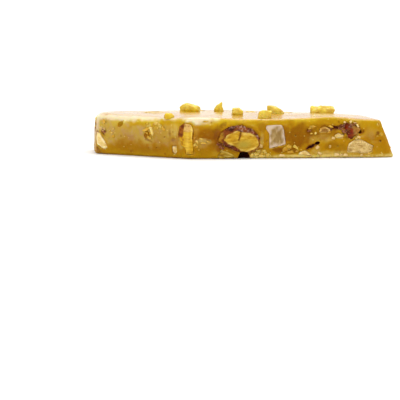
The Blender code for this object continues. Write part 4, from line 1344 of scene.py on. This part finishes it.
def toffee_finish():
    """Boiled sugar and butter: deep amber inside the break, lighter near its edges and top, partly as painted
    light, with a painted grey sheen in places.
    """
    f = Finish("toffee")
    height = f.add("SeparateXYZ", {"Vector": f.place}).outputs["Z"]
    wobble = f.sums("SUBTRACT", f.noise(9 * MM, 3), 0.5)
    level = f.sums("ADD", f.times(height, 1 / THICKNESS), f.times(wobble, 0.35))
    # By height: a light band under the top edge, darkest at mid height, lighter again at the foot. This is
    # partly the toffee's own tone and partly painted light, the light from above glowing through it.
    body = f.ramp(level, [(0.0, (0.44, 0.27, 0.004)), (0.20, (0.38, 0.195, 0.002)), (0.50, AMBER),
                          (0.70, (0.40, 0.195, 0.002)), (0.86, (0.57, 0.385, 0.012)), (0.96, BUTTER),
                          (1.0, (0.76, 0.62, 0.14))])
    drift = f.span(f.noise(22 * MM, 2), 0.40, 0.62)
    body = f.mix(f.times(drift, f.span(level, 0.84, 0.97, 0.85, 0.35)), body, HONEY)
    poured = f.mix(f.span(f.noise(13 * MM, 3, 0.55), 0.36, 0.68), (0.50, 0.280, 0.010), (0.42, 0.205, 0.005))
    colour = f.mix(f.read("broken"), poured, body)
    mottle = f.span(f.noise(2.0 * MM, 5, 0.66), 0.34, 0.70)
    colour = f.tint(colour, mottle, 0.30, AMBER)
    colour = f.tint(colour, f.read("deep"), 0.85, AMBER_DEEP)
    # The painted grey sheen, olive to lilac grey.
    greyed = f.mix(f.span(f.noise(2.6 * MM, 4, 0.6, 0.5), 0.46, 0.64), OLIVE_GREY, LILAC_GREY)
    colour = f.tint(colour, f.read("dust"), 0.58, greyed)
    broken_up = f.span(f.noise(1.2 * MM, 4, 0.65), 0.32, 0.56, 0.35, 1.0)
    colour = f.tint(colour, f.times(f.read("pale"), broken_up), 0.85, CREAM)
    # The painted highlight along the upper edges and the left corner.
    colour = f.tint(colour, f.read("painted_highlight"), 0.80, PAINTED_HIGHLIGHT)
    # Skin stains and painted shade in the hollows. Where the mark is strongest it goes near black: painted
    # shadow in the deepest hollows and the notch, and the darkest stains.
    stained = f.times(f.read("stain_and_shade"), f.span(f.noise(1.0 * MM, 4, 0.65), 0.30, 0.60, 0.45, 1.0))
    colour = f.tint(colour, stained, 0.92, STAIN_AND_SHADE)
    colour = f.mix(f.span(f.read("stain_and_shade"), 0.84, 0.96), colour, DARKEST)
    freckle = f.span(f.cells(3.1 * MM), 0.15, 0.08)
    colour = f.tint(colour, freckle, 0.5, AMBER_DEEP)
    speck = f.span(f.cells(2.3 * MM, f.stretched(f.place, (1.0, 1.0, 1.31))), 0.12, 0.06)
    colour = f.tint(colour, speck, 0.5, CREAM)
    gloss = f.noise(3.0 * MM, 4, 0.6)
    roughness = f.sums("MULTIPLY_ADD", f.read("dust"), 0.12, f.span(gloss, 0.3, 0.7, 0.26, 0.50))
    roughness = f.mix(f.read("broken"), f.span(gloss, 0.3, 0.7, 0.20, 0.34), roughness)
    scratches = f.noise(0.9 * MM, 3, 0.6, place=f.stretched(f.place, (0.3, 0.3, 1.6)))
    fine = f.sums("ADD", f.noise(0.5 * MM, 3, 0.6), f.times(scratches, f.read("dust")))
    relief = f.sums("MULTIPLY_ADD", fine, 0.40, f.noise(1.7 * MM, 4, 0.6))
    relief = f.times(relief, f.span(f.read("broken"), 0, 1, 0.25, 1.0))
    f.glow(0.30, (1.0, 0.42, 0.08), 2.0 * MM)
    return f.set(Base_Color=colour, Roughness=roughness, Normal=f.bump(relief, 0.18 * MM),
                 Coat_Weight=f.sums("MULTIPLY_ADD", f.read("broken"), -0.55, 0.55), Coat_Roughness=0.16,
                 Specular_IOR_Level=0.09)


def shard_finish():
    """Small broken bits of toffee: amber to butter yellow, clear at their edges."""
    f = Finish("toffee_shards")
    own = f.read("tone")
    colour = f.ramp(own, [(0.0, (0.38, 0.16, 0.003)), (0.50, (0.56, 0.33, 0.020)), (1.0, (0.78, 0.62, 0.22))])
    colour = f.mix(f.span(f.noise(0.7 * MM, 3), 0.35, 0.65, 0.0, 0.45), colour, (0.62, 0.41, 0.06))
    f.glow(0.25, (1.0, 0.5, 0.12), 0.8 * MM)
    return f.set(Base_Color=colour, Roughness=f.span(f.noise(0.8 * MM), 0.3, 0.7, 0.20, 0.40),
                 Normal=f.bump(f.noise(0.4 * MM), 0.05 * MM), Specular_IOR_Level=0.35)


def chip_finish():
    """The chips on top: butter yellow with amber ends."""
    f = Finish("toffee_chips")
    colour = f.mix(f.span(f.noise(2.0 * MM, 3), 0.35, 0.65), (0.57, 0.375, 0.010), (0.73, 0.565, 0.040))
    colour = f.tint(colour, f.read("deep"), 0.75, (0.46, 0.215, 0.002))
    colour = f.tint(colour, f.read("pale"), 0.60, (0.88, 0.77, 0.25))
    relief = f.sums("MULTIPLY_ADD", f.noise(0.3 * MM), 0.3, f.noise(0.9 * MM, 4, 0.6))
    f.glow(0.35, (1.0, 0.5, 0.12), 1.2 * MM)
    return f.set(Base_Color=colour, Roughness=f.span(f.noise(1.2 * MM), 0.3, 0.7, 0.26, 0.46),
                 Normal=f.bump(relief, 0.10 * MM), Specular_IOR_Level=0.25)


# The colours of a skin, the last one painted on its crests as glints, and how the streaks of the flesh are
# drawn out: along each cut or across it.
Skin = namedtuple("Skin", "dark red dust")
ROASTED = Skin((0.060, 0.010, 0.002), (0.22, 0.050, 0.007), (0.46, 0.30, 0.22))
THIN_SKIN = Skin((0.15, 0.036, 0.001), (0.33, 0.108, 0.003), (0.56, 0.34, 0.12))
ALONG_IT, ACROSS_IT = (0.45, 1.6, 1.0), (1.6, 0.40, 1.0)


def skin_colour(f, grain, skin=ROASTED):
    """Roasted almond skin: dark red-brown, streaked, with pale glints painted on the crests of its folds."""
    streaks = f.noise(0.9, 4, 0.65, place=f.stretched(grain, (0.35, 1.3, 1.0)))
    colour = f.mix(f.span(streaks, 0.38, 0.62), skin.dark, skin.red)
    warm = f.span(f.noise(2.6, 2, place=grain), 0.46, 0.62, 0.0, 0.6)
    colour = f.mix(warm, colour, (0.30, 0.095, 0.008))
    # Painted glints: the skin made paler on the crests of its folds.
    dusty = f.times(f.read("crest"), f.span(f.noise(0.6, 3, place=grain), 0.36, 0.56))
    return f.tint(colour, dusty, 0.75, skin.dust)


# The flesh of cut almonds: its streaks' colours, the one where the cut is of another tone, and its rim's,
# which is partly a painted highlight.
Flesh = namedtuple("Flesh", "name pale middle dark tone rim skin drawn", defaults=(ROASTED, ALONG_IT))
FLESHES = {
    "cream": Flesh("cream_almond", (0.86, 0.72, 0.36), (0.68, 0.49, 0.16), (0.42, 0.23, 0.045),
                   (0.56, 0.36, 0.11), (0.90, 0.80, 0.50)),
    "streaked": Flesh("streaked_almond", (0.78, 0.61, 0.30), (0.58, 0.41, 0.15), (0.30, 0.16, 0.04),
                      (0.34, 0.19, 0.06), (0.84, 0.70, 0.42)),
    "thin": Flesh("thin_almond", (0.62, 0.41, 0.13), (0.45, 0.245, 0.045), (0.28, 0.115, 0.012),
                  (0.38, 0.175, 0.025), (0.74, 0.54, 0.23)),
    "bright": Flesh("bright_almond", (0.90, 0.76, 0.42), (0.78, 0.60, 0.25), (0.52, 0.32, 0.08),
                    (0.66, 0.46, 0.16), (0.94, 0.84, 0.56)),
    "dusty": Flesh("dusty_almond", (0.55, 0.40, 0.20), (0.34, 0.225, 0.080), (0.17, 0.10, 0.030),
                   (0.27, 0.170, 0.055), (0.71, 0.58, 0.48), drawn=ACROSS_IT),
    "golden": Flesh("golden_almond", (0.68, 0.46, 0.060), (0.50, 0.28, 0.012), (0.30, 0.12, 0.003),
                    (0.36, 0.28, 0.045), (0.84, 0.66, 0.20)),
    "column": Flesh("crowned_almond", (0.70, 0.48, 0.045), (0.54, 0.31, 0.010), (0.36, 0.14, 0.003),
                    (0.62, 0.40, 0.15), (0.84, 0.65, 0.15), THIN_SKIN),
    "soaked": Flesh("soaked_almond", (0.48, 0.32, 0.036), (0.33, 0.185, 0.008), (0.20, 0.085, 0.002),
                    (0.30, 0.185, 0.012), (0.64, 0.48, 0.12)),
}


def flesh_finish(flesh):
    """Cut almond: fine streaks, darker pores, a brighter rim that is partly a painted highlight, painted
    shade in its cracks and hollows, and skin where it is kept.
    """
    f = Finish(flesh.name)
    grain = f.read_place("grain")
    streaks = f.noise(0.8, 5, 0.62, 0.4, f.stretched(grain, flesh.drawn))
    colour = f.ramp(streaks, [(0.34, flesh.dark), (0.48, flesh.middle), (0.64, flesh.pale)])
    blotch = f.span(f.noise(2.4, 3, place=grain), 0.35, 0.65)
    colour = f.tint(colour, blotch, 0.45, flesh.middle)
    colour = f.tint(colour, f.read("tone"), 0.80, flesh.tone)
    pores = f.span(f.cells(0.55, grain), 0.20, 0.10)
    colour = f.tint(colour, pores, 0.30, flesh.dark)
    # A paler rim, partly a painted highlight.
    colour = f.tint(colour, f.read("rim"), 0.75, flesh.rim)
    # Painted shade in cracks and hollows.
    colour = f.tint(colour, f.read("opened"), 0.9, (0.22, 0.080, 0.010))
    skin = f.read("skin")
    colour = f.mix(skin, colour, skin_colour(f, grain, flesh.skin))
    roughness = f.mix(skin, f.span(streaks, 0.3, 0.7, 0.48, 0.66), f.span(streaks, 0.3, 0.7, 0.30, 0.52))
    relief = f.sums("MULTIPLY_ADD", f.noise(0.25, 3, place=grain), 0.4, streaks)
    f.glow(0.18, (1.0, 0.6, 0.3), 0.9 * MM)
    return f.set(Base_Color=colour, Roughness=roughness, Normal=f.bump(relief, 0.10 * MM),
                 Specular_IOR_Level=0.16)


def plain_skin_finish():
    """The heap's skin: redder, with toffee over a part of it."""
    f = Finish("almond_skin")
    grain = f.read_place("grain")
    relief = f.noise(0.35, 4, 0.6, place=grain)
    red = f.span(f.noise(1.6, 3, place=grain), 0.42, 0.58)
    colour = f.mix(f.times(red, 0.80), skin_colour(f, grain), (0.26, 0.026, 0.001))
    colour = f.tint(colour, f.read("tone"), 0.75, (0.42, 0.23, 0.045))
    f.glow(0.10, (1.0, 0.25, 0.1), 0.6 * MM)
    return f.set(Base_Color=colour, Roughness=f.span(relief, 0.3, 0.7, 0.30, 0.52),
                 Normal=f.bump(relief, 0.08 * MM), Specular_IOR_Level=0.18)


def flake_finish():
    """Thin flakes of skin: brown, lighter where they are thinnest."""
    f = Finish("skin_flakes")
    streaks = f.noise(0.5 * MM, 4, 0.6)
    colour = f.mix(f.span(streaks, 0.35, 0.65), (0.13, 0.030, 0.008), (0.34, 0.15, 0.06))
    f.glow(0.15, (1.0, 0.3, 0.1), 0.5 * MM)
    return f.set(Base_Color=colour, Roughness=f.span(streaks, 0.3, 0.7, 0.30, 0.5),
                 Normal=f.bump(streaks, 0.04 * MM), Specular_IOR_Level=0.25)


def crumb_finish():
    """Almond powder and crumbs: cream."""
    f = Finish("almond_crumbs")
    own = f.mix(f.read("tone"), (0.52, 0.34, 0.10), (0.76, 0.58, 0.27))
    colour = f.mix(f.span(f.noise(0.7 * MM, 3), 0.35, 0.65, 0.0, 0.6), own, (0.68, 0.47, 0.19))
    f.glow(0.20, (1.0, 0.7, 0.4), 0.5 * MM)
    return f.set(Base_Color=colour, Roughness=f.span(f.noise(0.7 * MM), 0.3, 0.7, 0.5, 0.7),
                 Normal=f.bump(f.noise(0.4 * MM), 0.04 * MM))


def floor_finish():
    """A dull, near white floor."""
    f = Finish("floor")
    return f.set(Base_Color=f.mix(f.noise(0.25, 2), (0.86, 0.86, 0.86), (0.88, 0.88, 0.88)), Roughness=0.9,
                 Specular_IOR_Level=0.1)


def dress(piece, finish, slot, *nodes):
    """Gives a piece its finish and its body, and hides the nodes that it stands for. Its slot is not used."""
    piece.data.materials.clear()
    piece.data.materials.append(finish)
    piece.data.shade_smooth()
    if nodes:
        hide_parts(*nodes)
    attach(piece, "root")


# The lights: where they are, what they point at, their size in metres or degrees, and their power.
LIGHTS = [
    ("overhead", "SUN", (0.05, 0.35, 1.0), (0, 0, 0), 50, 1.9),
    ("fill", "AREA", (-0.30, -0.55, 0.25), (0, 0, 0.005), 0.40, 1.6),
    ("side", "AREA", (0.55, -0.20, 0.30), (0, 0, 0.005), 0.30, 0.8),
]
SKY_LIGHT = 0.45


def studio():
    """A pale floor under an even white sky, a soft light overhead, and a soft fill from the front."""
    bm = bmesh.new()
    bmesh.ops.create_grid(bm, x_segments=1, y_segments=1, size=20.0)
    floor = new_piece("floor", bm)
    floor.data.materials.append(floor_finish())
    floor.data.transform(Matrix.Translation((0, 0, -0.02 * MM)))
    for name, kind, place, target, size, power in LIGHTS:
        data = bpy.data.lights.new(name, kind)
        data.energy = power
        if kind == "SUN":
            data.angle = math.radians(size)
        else:
            data.size = size
        lamp = bpy.data.objects.new(name, data)
        lamp.location = place
        lamp.rotation_euler = (Vector(target) - Vector(place)).to_track_quat("-Z", "Y").to_euler()
        bpy.context.scene.collection.objects.link(lamp)
    world = bpy.data.worlds.new("studio")
    world.use_nodes = True
    tree = world.node_tree
    dim = tree.nodes["Background"]
    white = tree.nodes.new("ShaderNodeBackground")
    for sky, strength in ((dim, SKY_LIGHT), (white, 1.0)):
        sky.inputs["Color"].default_value = (1, 1, 1, 1)
        sky.inputs["Strength"].default_value = strength
    path = tree.nodes.new("ShaderNodeLightPath")
    seen = tree.nodes.new("ShaderNodeMath")
    seen.operation = "MAXIMUM"
    tree.links.new(path.outputs["Is Camera Ray"], seen.inputs[0])
    tree.links.new(path.outputs["Is Glossy Ray"], seen.inputs[1])
    both = tree.nodes.new("ShaderNodeMixShader")
    tree.links.new(seen.outputs[0], both.inputs[0])
    tree.links.new(dim.outputs[0], both.inputs[1])
    tree.links.new(white.outputs[0], both.inputs[2])
    tree.links.new(both.outputs[0], tree.nodes["World Output"].inputs["Surface"])
    bpy.context.scene.world = world
    bpy.context.scene.view_settings.view_transform = "Standard"
    bpy.context.scene.view_settings.look = "Medium High Contrast"


# Where the camera is, how far it looks down in degrees, and its lens in millimetres.
CAMERA_PLACE = Vector((-0.0116, -0.2295, 0.0204))
CAMERA_PITCH = 9.265
CAMERA_LENS = 61.02


def camera():
    """The camera where the photo was taken from."""
    data = bpy.data.cameras.new("camera")
    data.lens = CAMERA_LENS
    data.sensor_width = 36
    data.clip_start = 0.01
    made = bpy.data.objects.new("camera", data)
    made.location = CAMERA_PLACE + SHIFT
    made.rotation_euler = (math.radians(90 - CAMERA_PITCH), 0, 0)
    bpy.context.scene.collection.objects.link(made)
    bpy.context.scene.camera = made


def build():
    """Everything, in the order that the random draws and the cuts need."""
    camera()
    studio()
    shape_slab(nut_tree([nut.node for nut in NUTS]))
    paint_slab(nut_tree(SKINNED_NUTS))
    slab.data.shade_smooth()
    slab.data.set_sharp_from_angle(angle=math.radians(SHARP_EDGE))
    dress(slab, toffee_finish(), "toffee", "toffee_slab")
    finishes = {name: flesh_finish(flesh) for name, flesh in FLESHES.items()}
    finishes["skin"] = plain_skin_finish()
    for nut in NUTS:
        dress(nut_piece(nut), finishes[nut.flesh], SLOTS.get(nut.flesh, "almond"), nut.node)
    dress(chip_pieces(), chip_finish(), "toffee")
    surface = surface_tree(slab)
    toffee_bits = TOFFEE_SHARDS + grown_shards(LIP_GRAINS + scattered_clusters(31, 4), 5)
    dress(shard_piece("toffee_shards", toffee_bits, 6, surface), shard_finish(), "toffee")
    almond_bits = ALMOND_CRUMBS + grown_shards(scattered_clusters(32, 5), 7)
    dress(shard_piece("almond_crumbs", almond_bits, 8, surface), crumb_finish(), "almond")
    dress(skin_flakes(surface), flake_finish(), "almond_skin")


build()
